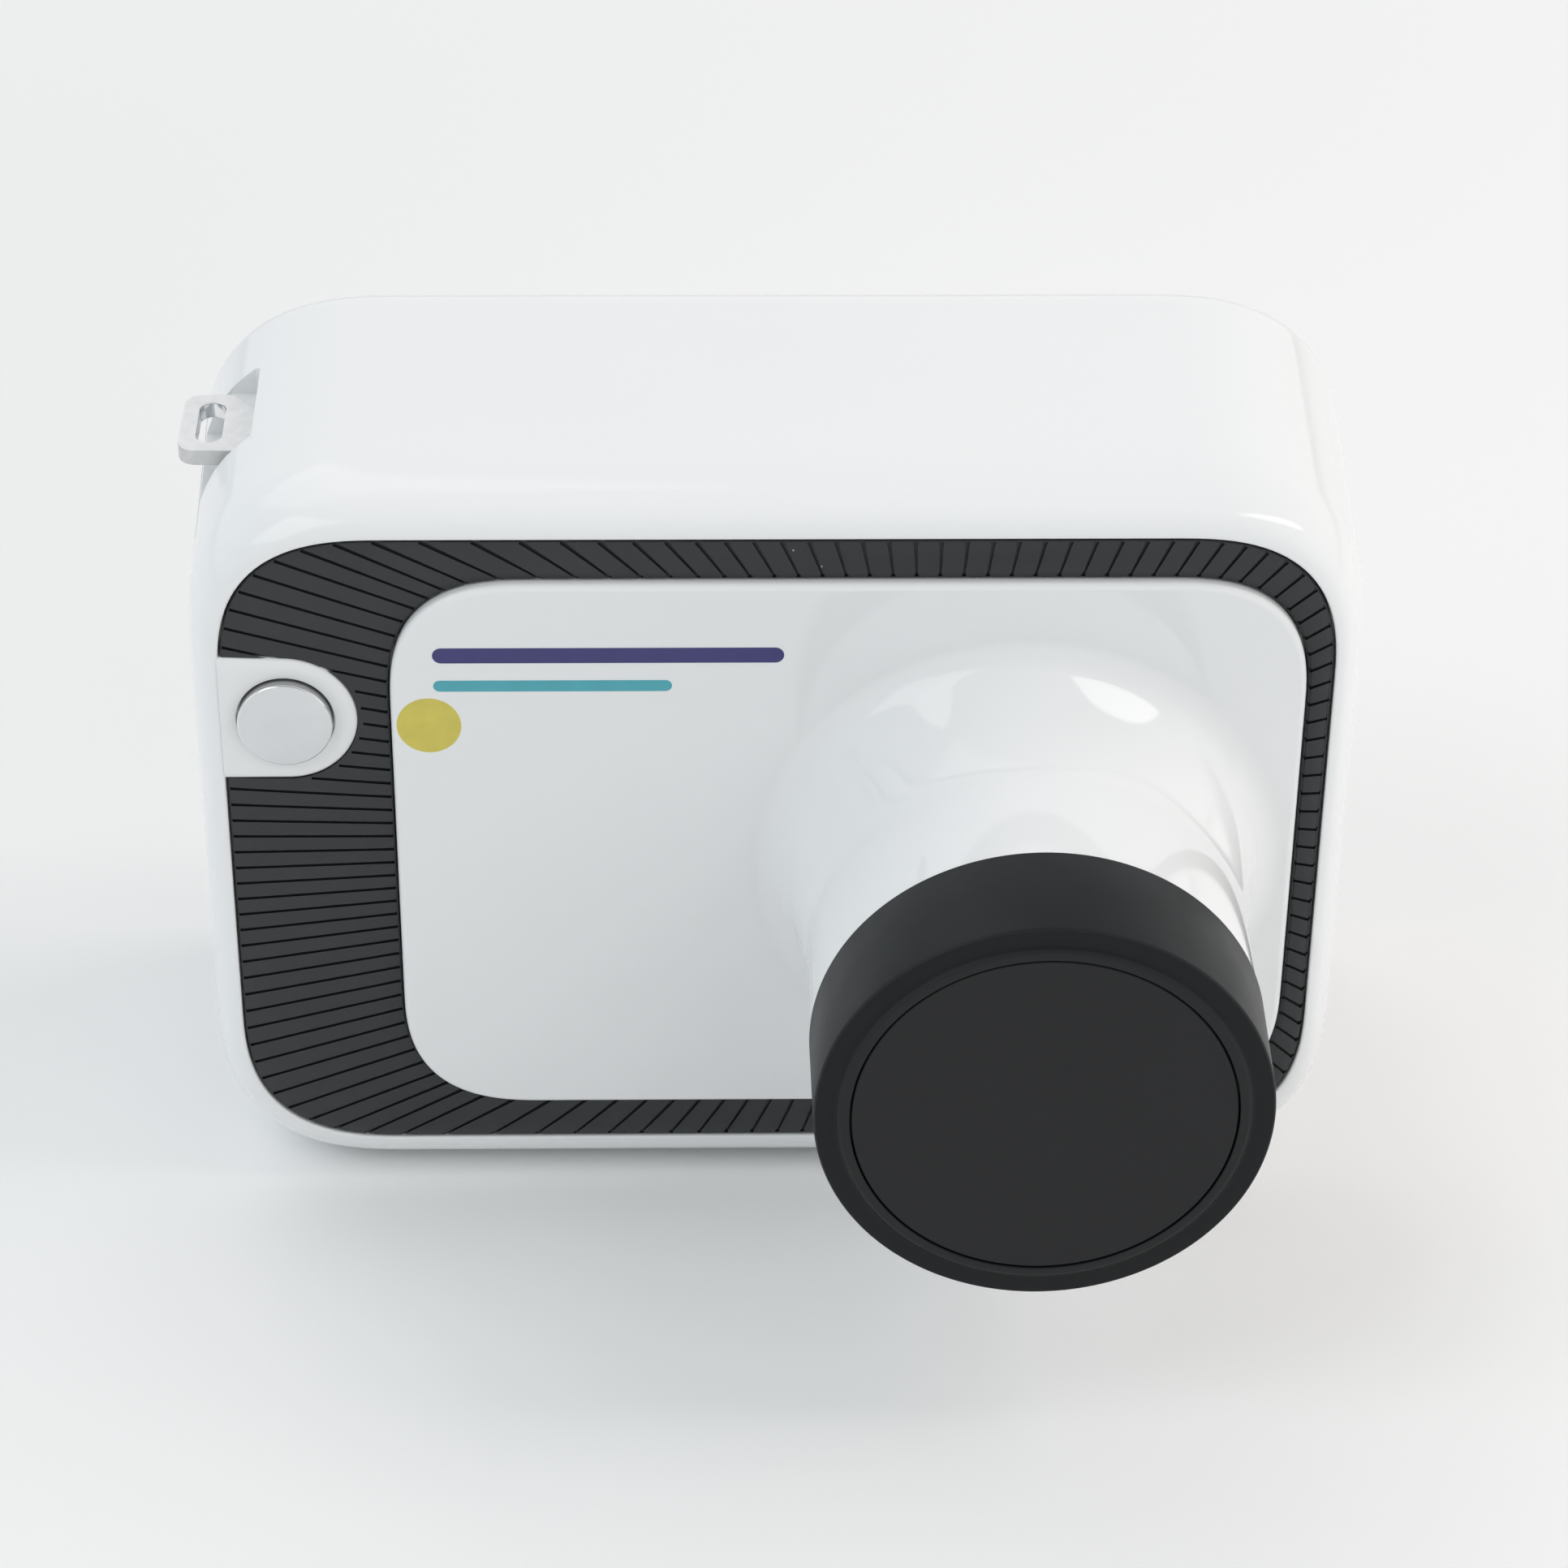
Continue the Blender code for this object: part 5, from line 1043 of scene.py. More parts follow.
@dataclass
class GripBand:
    """Dark rubber inlay with fanned rib grooves."""

    back: float = 0.0032
    sink: float = 0.00028
    edge: float = 0.0005
    camber: float = 0.00045
    groove_width: float = 0.0005
    groove_floor: float = 0.00027
    groove_depth: float = 0.00008
    # How far a groove's cutter stands out of the band
    reach: float = 0.0006
    line_steps: int = 8
    # Share of a line by which its start moves on until it is clear of the button's island
    clear_step: float = 0.01
    rim_margin: float = 0.00035
    panel_margin: float = 0.0003
    bezel_margin: float = 0.0007
    bezel_gap: float = 0.00006
    bow: float = 0.0003
    # Where rings follow the camber between both edges
    camber_shares: tuple[float, ...] = (0.15, 0.3, 0.5, 0.7, 0.85)
    ribs_per_half: int = 67
    finer: int = 4
    # Rib number, then how far round the outer and the inner outline it lies
    rib_shares: tuple[tuple[int, float, float], ...] = (
        (0, 0.0, 0.0), (8, 0.0528, 0.0583), (15, 0.0979, 0.1058), (20, 0.1314, 0.1414), (30, 0.2042, 0.2201),
        (37, 0.2574, 0.2749), (41, 0.2915, 0.3094), (44, 0.3235, 0.3409), (47, 0.3650, 0.3780),
        (50, 0.3938, 0.3989), (54, 0.4218, 0.4244), (60, 0.4598, 0.4610), (67, 0.5, 0.5))

    def shares(self, step: float) -> tuple[float, float]:
        """Return the outer and the inner share of a rib line, by cubic pieces through the table."""
        table = self.rib_shares
        last = len(table) - 1
        slot = max(i for i in range(last) if table[i][0] <= step)
        near, far = table[slot], table[slot + 1]
        before, beyond = table[max(slot - 1, 0)], table[min(slot + 2, last)]
        span = far[0] - near[0]
        t = (step - near[0]) / span
        found = []
        for column in (1, 2):
            start = (far[column] - before[column]) / (far[0] - before[0]) * span
            end = (beyond[column] - near[column]) / (beyond[0] - near[0]) * span
            found.append((2 * t ** 3 - 3 * t ** 2 + 1) * near[column] + (t ** 3 - 2 * t ** 2 + t) * start
                         + (3 * t ** 2 - 2 * t ** 3) * far[column] + (t ** 3 - t ** 2) * end)
        return found[0], found[1]

    def line(self, number: float) -> tuple[Vector, Vector]:
        """Return the outer and the inner end of a rib line, as (x, z) vectors."""
        outer, inner = BODY.band.grown(-BODY.gap), BODY.panel.grown(BODY.gap)
        total = 2 * self.ribs_per_half
        within = number % total
        mirrored = within > self.ribs_per_half
        first, second = self.shares(total - within if mirrored else within)
        if mirrored:
            first, second = 1 - first, 1 - second
        return Vector(outer.around(first)), Vector(inner.around(second))

    def surface(self, share: float) -> float:
        """Return the depth of the cambered surface a share of the way from the outer to the inner edge."""
        return self.sink - self.camber * 4 * share * (1 - share)

    def base(self) -> Piece:
        """Build the band without its grooves."""
        count = 2 * self.ribs_per_half * self.finer
        ends = [self.line(i / self.finer) for i in range(count)]
        widths = [(b - a).length for a, b in ends]
        rings: list[Ring] = []

        def add(place: Callable[[float], float], depth: Callable[[float], float]) -> None:
            """Add a ring whose place across the band and depth depend on the band's width there."""
            ring = []
            for (a, b), width in zip(ends, widths):
                share = place(width)
                spot = a.lerp(b, share)
                ring.append(Vector((spot.x, BODY.at(depth(share)), spot.y)))
            rings.append(ring)

        def edge(outer: bool) -> None:
            """Add the rings of one rounded edge, the outer or the inner one."""
            for run, rise in quarter(3) if outer else reversed(quarter(3)):
                inset = self.edge * run
                add(lambda w: inset / w if outer else 1 - inset / w, lambda s: self.surface(0) + self.edge * rise)

        add(lambda w: 0.0, lambda s: self.back)
        edge(True)
        for share in self.camber_shares:
            add(lambda w: share, self.surface)
        edge(False)
        add(lambda w: 1.0, lambda s: self.back)
        return Meshes.loft("ribbed_band", rings, RIBBED_RUBBER, joined=True, sharp=30)

    def near_button(self, spot: Vector) -> bool:
        """Say whether a point of the band lies under the bezel or right beside it."""
        reach = ExposureButton.bezel_radius + self.bezel_margin
        right = max(0.0, spot.x - BODY.button_x)
        return math.hypot(right, spot.y - BODY.button_z) < reach

    def lines(self) -> Piece:
        """Build the groove lines as edges, laid flat: x, z of the part as x, y, and its height as z."""
        bm = bmesh.new()
        for number in range(2 * self.ribs_per_half):
            a, b = self.line(number)
            width = (b - a).length
            start, end = self.rim_margin / width, 1 - self.panel_margin / width
            while start < end and self.near_button(a.lerp(b, start)):
                start += self.clear_step
            last = None
            for step in range(self.line_steps + 1):
                share = start + (end - start) * step / self.line_steps
                spot = a.lerp(b, share)
                bow = self.bow * 4 * share * (1 - share)
                vert = bm.verts.new((spot.x, spot.y + bow, -BODY.at(self.surface(share))))
                if last is not None:
                    bm.edges.new((last, vert))
                last = vert
        return Meshes.plain("groove_lines", bm)

    def tool(self) -> NodeTool:
        """Build the tree that sweeps a tapered groove along every line and takes it out of the band."""
        made = NodeTool("Rib grooves", {
            "Lines": ("NodeSocketObject", None), "Groove Width": ("NodeSocketFloat", self.groove_width),
            "Groove Floor": ("NodeSocketFloat", self.groove_floor),
            "Groove Depth": ("NodeSocketFloat", self.groove_depth), "Reach": ("NodeSocketFloat", self.reach),
            "Material": ("NodeSocketMaterial", None)})
        give = made.give
        guide = made.node("GeometryNodeObjectInfo", {"Object": give["Lines"]}, transform_space="ORIGINAL")
        curves = made.node("GeometryNodeMeshToCurve", {"Mesh": guide.outputs["Geometry"]})
        upright = made.node("GeometryNodeSetCurveNormal", {"Curve": curves.outputs["Curve"]}, mode="Z_UP")
        height = made.calc("ADD", give["Groove Depth"], give["Reach"])
        # The walls keep their slope above the surface, so the mouth is as wide as asked at the surface itself
        slope = made.calc("DIVIDE", made.calc("SUBTRACT", give["Groove Width"], give["Groove Floor"]),
                          give["Groove Depth"])
        mouth = made.calc("ADD", give["Groove Floor"], made.calc("MULTIPLY", slope, height))
        shape = made.node("GeometryNodeCurvePrimitiveQuadrilateral", {
            "Height": height, "Bottom Width": give["Groove Floor"], "Top Width": mouth, "Offset": 0.0},
            mode="TRAPEZOID")
        drop = made.calc("SUBTRACT", made.calc("MULTIPLY", height, 0.5), give["Groove Depth"])
        shift = made.node("ShaderNodeCombineXYZ", {"Y": drop})
        profile = made.node("GeometryNodeTransform", {"Geometry": shape.outputs[0],
                                                      "Translation": shift.outputs[0]})
        swept = made.node("GeometryNodeCurveToMesh", {
            "Curve": upright.outputs[0], "Profile Curve": profile.outputs[0], "Fill Caps": True})
        stood = made.node("GeometryNodeTransform", {"Geometry": swept.outputs[0],
                                                    "Rotation": (math.pi / 2, 0.0, 0.0)})
        made.close(made.boolean("DIFFERENCE", stood.outputs[0], give["Geometry"]))
        return made

    def notch(self) -> Piece:
        """Return the cutter that leaves room for the bezel round the button."""
        radius = ExposureButton.bezel_radius + self.bezel_gap
        edge = ExposureButton.tongue(radius, -BODY.half_band - BODY.overrun, 48)
        return Meshes.slab("notch", edge, -BODY.overrun, self.back + BODY.overrun)

    def build(self) -> None:
        """Build the band, cut its grooves and hand it over."""
        band, guide = self.base(), self.lines()
        self.tool().run(band, RIBBED_RUBBER, Lines=guide, Groove_Width=self.groove_width,
                        Groove_Floor=self.groove_floor, Groove_Depth=self.groove_depth)
        Meshes.drop(guide)
        Meshes.cut(band, self.notch())
        Meshes.clean(band)
        Meshes.smooth(band, sharp=30)
        hand_over(band, UNIT, "dark_rubber", "grip_band")


@dataclass
class FrontCover:
    """Raised white panel with its flared foot and tube."""

    rise: float = 0.0016
    edge: float = 0.0012
    back: float = 0.0032
    tube: float = 0.0377
    bore: float = 0.0347
    spigot: float = 0.0362
    spigot_length: float = 0.016
    collar_start: float = 0.04625
    flare_radius: float = 0.0466
    flare_length: float = 0.0215
    flare_lift: float = 0.0043
    flare_shift: float = 0.0006
    segments: int = 160
    # Share of the flare's length, of its extra radius and of its lift
    flare_shares: tuple[Triple, ...] = (
        (0.0, 1.0, 1.0), (0.0, 0.86, 1.03), (0.03, 0.67, 1.06), (0.09, 0.46, 1.09), (0.20, 0.315, 1.05),
        (0.35, 0.225, 0.78), (0.53, 0.135, 0.465), (0.77, 0.045, 0.163), (0.90, 0.0, 0.05), (1.0, 0.0, 0.0))
    flare_steps: int = 5

    def flare(self) -> list[Ring]:
        """Return the rings of the flare, along a B-spline that leaves the panel without an edge."""
        knots = [Vector((self.tube + (self.flare_radius - self.tube) * swell, self.flare_length * length,
                         self.flare_lift * lift)) for length, swell, lift in self.flare_shares]
        chain = [knots[0]] * 2 + knots + [knots[-1]] * 2
        rings: list[Ring] = []
        for slot in range(len(chain) - 3):
            before, here, after, beyond = chain[slot:slot + 4]
            for step in range(self.flare_steps):
                t = step / self.flare_steps
                spot = ((1 - t) ** 3 * before + (3 * t ** 3 - 6 * t ** 2 + 4) * here
                        + (3 * t * (1 + t - t ** 2) + 1) * after + t ** 3 * beyond) / 6
                rings.append(self.flare_ring(spot))
        rings.append(self.flare_ring(knots[-1]))
        return rings

    def flare_ring(self, spot: Vector) -> Ring:
        """Return one ring of the flare from its radius, its length and its lift."""
        lift = spot.z / self.flare_lift
        return Meshes.circle(BODY.beam_x - self.flare_shift * lift, BODY.beam_z + spot.z, spot.x,
                             -self.rise - spot.y, self.segments)

    def build(self) -> None:
        """Build the cover and hand it over."""
        bm = bmesh.new()
        panel = BODY.panel
        rings = [panel.ring(self.back), *(panel.grown(-self.edge * run).ring(self.edge * rise - self.rise)
                                          for run, rise in quarter(6))]
        Meshes.add_loft(bm, rings, caps=False)
        end = -self.collar_start - self.spigot_length
        shoulder = -self.collar_start + BODY.gap
        centre = (BODY.beam_x, BODY.beam_z)
        tube = self.flare() + [Meshes.circle(*centre, radius, depth, self.segments)
                               for radius, depth in ((self.tube, shoulder), (self.spigot, shoulder),
                                                     (self.spigot, end), (self.bore, end),
                                                     (self.bore, self.back))]
        Meshes.add_loft(bm, tube, caps=False)
        bmesh.ops.remove_doubles(bm, verts=bm.verts, dist=MERGE_NEW)
        for depth in (-self.rise, self.back):
            level = BODY.at(depth)
            rim = [e for e in bm.edges if e.is_boundary
                   and all(abs(v.co.y - level) < MERGE_CUT for v in e.verts)]
            bmesh.ops.triangle_fill(bm, edges=rim, use_beauty=True, use_dissolve=False, normal=(0, -1, 0))
        cover = Meshes.flatten(Meshes.finish("panel_and_tube", bm, PANEL_WHITE), sharp=40)
        hand_over(cover, UNIT, "white_plastic", "front_cover")


@dataclass
class Collar:
    """Black collar on the end of the tube, with its flat exit window."""

    radius: float = 0.03806
    taper: float = 0.0002
    length: float = 0.02165
    edge: float = 0.0006
    # Angle in degrees over which its front edge is rounded
    sweep: float = 78.0
    slope: float = 0.0003
    ring_inner: float = 0.0340
    ring_sink: float = 0.0009
    bead_outer: float = 0.0347
    bead_width: float = 0.0015
    bead_steps: int = 9
    ledge: float = 0.0014
    rear_edge: float = 0.00025
    fine_edge: float = 0.00015
    disc: float = 0.03167
    disc_sink: float = 0.0002
    disc_thickness: float = 0.0022
    segments: int = 192

    def build(self) -> None:
        """Build and hand over the collar and the window."""
        back, front = -FrontCover.collar_start, -FrontCover.collar_start - self.length
        face = front + self.ring_sink
        face_end = face + self.edge
        lip, ledge = self.disc + BODY.gap, self.disc + BODY.gap - self.ledge
        seat = front + self.disc_sink + self.disc_thickness + BODY.gap
        outer = self.radius - self.taper
        bore = FrontCover.spigot + BODY.gap
        deep = back - FrontCover.spigot_length - BODY.gap
        soft, fine = self.rear_edge, self.fine_edge
        profile = [(self.radius - soft, back), *arc((self.radius - soft, back - soft), soft, 90, 0, 3)[1:]]
        profile += arc((outer - self.edge, face - self.slope + self.edge), self.edge, 0, -self.sweep, 6)
        for step in range(self.bead_steps + 1):
            share = step / self.bead_steps
            rise = share * share * (3 - 2 * share)
            profile.append((self.bead_outer - self.bead_width * share, face - self.ring_sink * rise))
        profile += [(lip + fine, front), (lip, front + fine), (lip, seat), (ledge, seat), (ledge, deep),
                    (bore, deep), (bore, back)]
        centre = (BODY.beam_x, BODY.beam_z)
        collar = Meshes.turned("black_collar", centre, profile, self.segments, SATIN_BLACK, ring=True, sharp=33)
        hand_over(collar, UNIT, "black_plastic", "collar")
        top = front + self.disc_sink
        collar.data.materials.append(RING_BLACK.material())
        for side in collar.data.polygons:
            reach = math.hypot(side.center.x - BODY.beam_x, side.center.z - BODY.beam_z)
            side.material_index = int(reach < outer - self.edge / 2 and side.center.y < BODY.at(face_end)
                                      and reach > self.ring_inner)
        window = Meshes.turned("exit_window", centre, (
            (self.disc - fine, top), (self.disc, top + fine), (self.disc, top + self.disc_thickness)),
            self.segments, WINDOW_BLACK)
        hand_over(window, UNIT, "black_plastic", "collar_disc")


@dataclass
class ExposureButton:
    """Satin exposure button and the white island round it."""

    bezel_radius: float = 0.0123
    bezel_rise: float = 0.0004
    bezel_edge: float = 0.0009
    bezel_ease: float = 0.0026
    bezel_back: float = 0.0032
    radius: float = 0.00812
    clearance: float = 0.00028
    rise: float = 0.0022
    chamfer: float = 0.0002
    flange: float = 0.0011
    flange_front: float = 0.0012
    flange_back: float = 0.0022
    stem: float = 0.003
    stem_end: float = 0.0095
    rim_overlap: float = 0.0001
    hole_edge: float = 0.0001
    hole_lead: float = 0.0003
    fine_edge: float = 0.00006
    # Share of the beam's direction above which a face is part of the top, and below which it is part of the side
    top_face: float = 0.99
    side_face: float = 0.1

    @staticmethod
    def tongue(radius: float, left: float, steps: int) -> list[Point]:
        """Return the outline of a tongue whose round end lies about the button and whose straight end is at an X."""
        return [(left, BODY.button_z + radius), (left, BODY.button_z - radius),
                *arc((BODY.button_x, BODY.button_z), radius, -90, 90, steps)]

    def outline(self, inset: float) -> list[Point]:
        """Return the bezel's outline, a tongue that runs up to the rim."""
        return self.tongue(self.bezel_radius - inset, -BODY.half_band - self.rim_overlap, 64)

    def build(self) -> None:
        """Build and hand over the bezel and the button."""
        rings = [BODY.ring(self.outline(0.0), self.bezel_back)]
        rings += [BODY.ring(self.outline(self.bezel_ease * run), self.bezel_edge * rise - self.bezel_rise)
                  for run, rise in quarter(10)]
        bezel = Meshes.loft("button_island", rings, GLOSS_WHITE)
        centre, hole = (BODY.button_x, BODY.button_z), self.radius + self.clearance
        top = -self.bezel_rise
        wide = self.radius + self.flange + self.clearance
        ease, lead, seat = self.hole_edge, self.hole_lead, self.flange_front - BODY.gap
        Meshes.cut(bezel, Meshes.turned("button_hole", centre, (
            (hole + ease + lead, top - lead), (hole + ease, top), (hole, top + ease), (hole, seat), (wide, seat),
            (wide, self.bezel_back + BODY.overrun)), 96))
        Meshes.flatten(bezel, sharp=30)
        hand_over(bezel, UNIT, "white_plastic", "button_bezel")
        soft, inner, outer = self.fine_edge, self.radius - self.chamfer, self.radius + self.flange
        profile = [(inner - soft, -self.rise), (inner, -self.rise + soft / 3),
                   (self.radius - soft, -self.rise + self.chamfer - soft / 2),
                   (self.radius, -self.rise + self.chamfer), (self.radius, self.flange_front),
                   (outer, self.flange_front), (outer, self.flange_back), (self.stem, self.flange_back),
                   (self.stem, self.stem_end)]
        cap = Meshes.turned("silver_button", centre, profile, 128, SATIN_SILVER, sharp=25)
        for finish in (POLISHED_SILVER, SHADED_TURNED_SILVER):
            cap.data.materials.append(finish.material())
        # The chamfer is polished, and the side is turned silver painted darker as shade down its wall
        for face in cap.data.polygons:
            facing = abs(face.normal.y)
            face.material_index = (facing < self.top_face) + (facing < self.side_face)
        hand_over(cap, "trigger", "satin_metal", "exposure_button")


@dataclass
class StrapLug:
    """Flat aluminium plate with a slot for the wrist strap."""

    front: float = -0.0057
    back: float = 0.0138
    low: float = 0.1312
    top: float = 0.1342
    outer: float = -0.1034
    tail: float = -0.077
    corner: float = 0.0032
    slot_x: float = -0.09825
    slot_width: float = 0.0045
    slot_length: float = 0.0135
    edge: float = 0.00025
    step: float = 0.0045
    # X of both ends of the slope from the tail out to the back edge
    shoulder: Point = (-0.0911, -0.0950)
    slot_room: float = 0.0003

    def build(self) -> None:
        """Build the plate and hand it over."""
        inner, outer = self.shoulder
        edge = [(self.tail, self.front), (self.tail, self.back - self.step), (inner, self.back - self.step),
                (outer, self.back)]
        for centre_y, start in ((self.back - self.corner, 90), (self.front + self.corner, 180)):
            edge += arc((self.outer + self.corner, centre_y), self.corner, start, start + 90, 14)
        plate = Meshes.prism("strap_plate", edge, self.low, self.top, BLASTED_ALUMINIUM)
        radius = self.slot_width / 2
        reach, middle = self.slot_length / 2 - radius, (self.front + self.back) / 2
        slot = (arc((self.slot_x, middle + reach), radius, 0, 180, 16)
                + arc((self.slot_x, middle - reach), radius, 180, 360, 16))
        Meshes.cut(plate, Meshes.prism("strap_slot", slot, self.low - BODY.overrun, self.top + BODY.overrun))
        Meshes.ease_edges(plate, self.edge)
        for finish in (SAWN_AND_SHADED_ALUMINIUM, POLISHED_SILVER):
            plate.data.materials.append(finish.material())
        near = radius + self.slot_room
        # The outer edge is sawn, with a darker colour painted on its upright sides as shade, and the slot is polished
        for face in plate.data.polygons:
            inside = abs(face.center.x - self.slot_x) < near and abs(face.center.y - middle) < self.slot_length / 2
            face.material_index = (1 + inside) * (abs(face.normal.z) < 0.5)
        hand_over(plate, UNIT, "bare_aluminium", "strap_lug")


@dataclass
class Fasteners:
    """The rear cover's socket screws, made by one tree."""

    shank: float = 0.0014
    length: float = 0.0065
    head: float = 0.0027
    head_height: float = 0.0013
    chamfer: float = 0.0003
    socket: float = 0.00135
    socket_depth: float = 0.0007
    # How far the shank reaches up into the head
    bite: float = 0.0002
    head_sides: int = 48
    shank_sides: int = 32
    socket_sides: int = 6

    def tool(self) -> NodeTool:
        """Build the tree that puts a chamfered socket screw on every point."""
        made = NodeTool("Socket screws", {
            "Head Radius": ("NodeSocketFloat", self.head), "Head Height": ("NodeSocketFloat", self.head_height),
            "Chamfer": ("NodeSocketFloat", self.chamfer), "Shank Radius": ("NodeSocketFloat", self.shank),
            "Length": ("NodeSocketFloat", self.length), "Socket Radius": ("NodeSocketFloat", self.socket),
            "Socket Depth": ("NodeSocketFloat", self.socket_depth), "Turn": ("NodeSocketVector", (0.0, 0.0, 0.0)),
            "Material": ("NodeSocketMaterial", None)})
        give = made.give

        def column(radius: object, tip: object, tall: object, base: object, sides: int) -> Socket:
            """Return a cone or cylinder that stands on a height below the top of the head."""
            cone = made.node("GeometryNodeMeshCone", {"Vertices": sides, "Radius Bottom": radius,
                                                      "Radius Top": tip, "Depth": tall})
            lift = made.node("ShaderNodeCombineXYZ", {"Z": base})
            return made.node("GeometryNodeTransform", {"Geometry": cone.outputs["Mesh"],
                                                       "Translation": lift.outputs[0]}).outputs[0]

        tip = made.calc("SUBTRACT", give["Head Radius"], give["Chamfer"])
        low, twice = (made.calc("MULTIPLY", give["Head Height"], by) for by in (-1.0, 2.0))
        # A wide cone cuts the chamfer on a column that stands above it
        capped = made.boolean("INTERSECT", [
            column(give["Head Radius"], give["Head Radius"], twice, low, self.head_sides),
            column(made.calc("ADD", tip, twice), tip, twice, made.calc("MULTIPLY", twice, -1.0),
                   self.head_sides)])
        shank = column(give["Shank Radius"], give["Shank Radius"],
                       made.calc("ADD", give["Length"], self.bite),
                       made.calc("SUBTRACT", low, give["Length"]), self.shank_sides)
        whole = made.boolean("UNION", [capped, shank])
        deep, tall = (made.calc("MULTIPLY", give["Socket Depth"], by) for by in (-1.0, 2.0))
        socket = column(give["Socket Radius"], give["Socket Radius"], tall, deep, self.socket_sides)
        placed = made.node("GeometryNodeInstanceOnPoints", {
            "Points": give["Geometry"], "Instance": made.boolean("DIFFERENCE", socket, whole),
            "Rotation": give["Turn"]})
        made.close(placed.outputs["Instances"])
        return made

    def build(self) -> None:
        """Build the four screws of the rear cover and hand them over."""
        mesh = bpy.data.meshes.new("rear_screws")
        mesh.from_pydata([tuple(point) for point in BODY.ring(BODY.rear_screws, BODY.depth)], [], [])
        screws = Meshes.place("rear_screws", mesh)
        self.tool().run(screws, PLAIN_STEEL, Turn=(-math.pi / 2, 0.0, 0.0), Length=self.length)
        Meshes.clean(screws)
        Meshes.smooth(screws, sharp=30)
        hand_over(screws, UNIT, "steel", *(f"rear_cover_screw_{i}" for i in range(1, 5)))


class KeySign(Enum):
    """Plain signs on the keys, from the top one down."""

    POWER = "power"
    UP = "up"
    ROUND = "round"
    DOWN = "down"


@dataclass
class RearCover:
    """White rear cover with the display, the keys and its screw holes."""

    display_x: float = 0.018
    display_z: float = 0.078
    glass_width: float = 0.080
    glass_height: float = 0.060
    glass_corner: float = 0.004
    glass_thickness: float = 0.0013
    glass_ledge: float = 0.003
    glass_edge: float = 0.0002
    edge: float = 0.0003
    screw_ease: float = 0.0002
    # How far a cutter widens outside the cover
    lead: float = 0.001
    key_x: float = -0.048
    keys: tuple[tuple[str, str, float, float], ...] = (
        ("power_key", "power", 0.100, 0.0055), ("menu_key_1", "menu_1", 0.080, 0.0045),
        ("menu_key_2", "menu_2", 0.0655, 0.0045), ("menu_key_3", "menu_3", 0.051, 0.0045))
    key_rise: float = 0.0008
    dish: float = 0.0002
    # Share of the cap's radius and of the dish's depth
    dish_shares: tuple[Point, ...] = ((0.75, 0.5), (0.55, 1.0), (0.1, 1.0))
    sign_size: float = 0.0014
    sign_line: float = 0.00035
    sign_root: float = 0.0001
    sign_rise: float = 0.00008
    key_clearance: float = 0.0003
    key_flange: float = 0.001
    key_edge: float = 0.0004

    def glass_outline(self, grow: float = 0.0) -> Outline:
        """Return the outline of the glass, moved outwards."""
        wide, high = self.glass_width / 2 + grow, self.glass_height / 2 + grow
        return Outline(self.display_x - wide, self.display_x + wide, self.display_z - high, self.display_z + high,
                       self.glass_corner + grow / 2, 10)

    def cover(self) -> Piece:
        """Build the cover."""
        shape = BODY.rear_outline.grown(-BODY.gap)
        inner, outer = BODY.depth - BODY.cover_thickness, BODY.depth
        rings = [shape.grown(-self.edge * run).ring(outer - self.edge * rise) for run, rise in quarter(3)]
        cover = Meshes.loft("rear_panel", [shape.ring(inner), *rings], GLOSS_WHITE)
        grown, less = self.glass_outline(BODY.gap), self.glass_outline(-self.glass_ledge)
        tools = [
            Meshes.loft("glass_rebate", [grown.ring(outer - self.glass_thickness - BODY.gap),
                                         grown.ring(outer + BODY.overrun)]),
            Meshes.loft("display_hole", [less.ring(inner - BODY.overrun), less.ring(outer)])]
        for name, _, z, radius in self.keys:
            hole = radius + self.key_clearance
            tools.append(Meshes.turned(f"{name}_hole", (self.key_x, z), (
                (hole, inner - BODY.overrun), (hole, outer - self.edge), (hole + self.edge, outer),
                (hole + self.edge + self.lead, outer + self.lead)), 64))
        bore, wide, ease = Fasteners.shank + BODY.gap, Fasteners.head + BODY.gap, self.screw_ease
        seat = outer - Fasteners.head_height - BODY.gap
        for count, place in enumerate(BODY.rear_screws):
            tools.append(Meshes.turned(f"rear_hole_{count}", place, (
                (bore, inner - BODY.overrun), (bore, seat), (wide, seat), (wide, outer - ease),
                (wide + ease, outer), (wide + ease + self.lead, outer + self.lead)), 48))
        return Meshes.flatten(Meshes.cut(cover, *tools), sharp=30)

    def glass(self) -> Piece:
        """Build the display glass, with a polished edge."""
        outer, soft = BODY.depth, self.glass_edge
        shape = self.glass_outline()
        return Meshes.loft("cover_glass", [
            shape.ring(outer - self.glass_thickness), shape.ring(outer - soft),
            shape.grown(-soft).ring(outer)], COVER_GLASS, sharp=30)

    def key(self, name: str, z: float, radius: float) -> Piece:
        """Build one key with a dished top.

        Args:
            name: Name of the piece.
            z: Height of its centre.
            radius: Radius of its cap.

        Returns:
            The key.
        """
        top = BODY.depth + self.key_rise
        flange, wide, soft = BODY.depth - BODY.cover_thickness - BODY.gap, radius + self.key_flange, self.key_edge
        profile = [(wide, flange - self.key_flange), (wide, flange), (radius, flange),
                   *arc((radius - soft, top - soft), soft, 0, 90, 5),
                   *((radius * reach, top - self.dish * sunk) for reach, sunk in self.dish_shares)]
        return Meshes.turned(name, (self.key_x, z), profile, 72, GREY_MOULDING, sharp=50)

    def stroke(self, radius: float, start: float, end: float) -> list[Point]:
        """Return the outline of a line along an arc, with its angles in degrees."""
        outer, inner = (arc((0.0, 0.0), radius + way * self.sign_line / 2, start, end, 40) for way in (1, -1))
        return outer + inner[::-1]

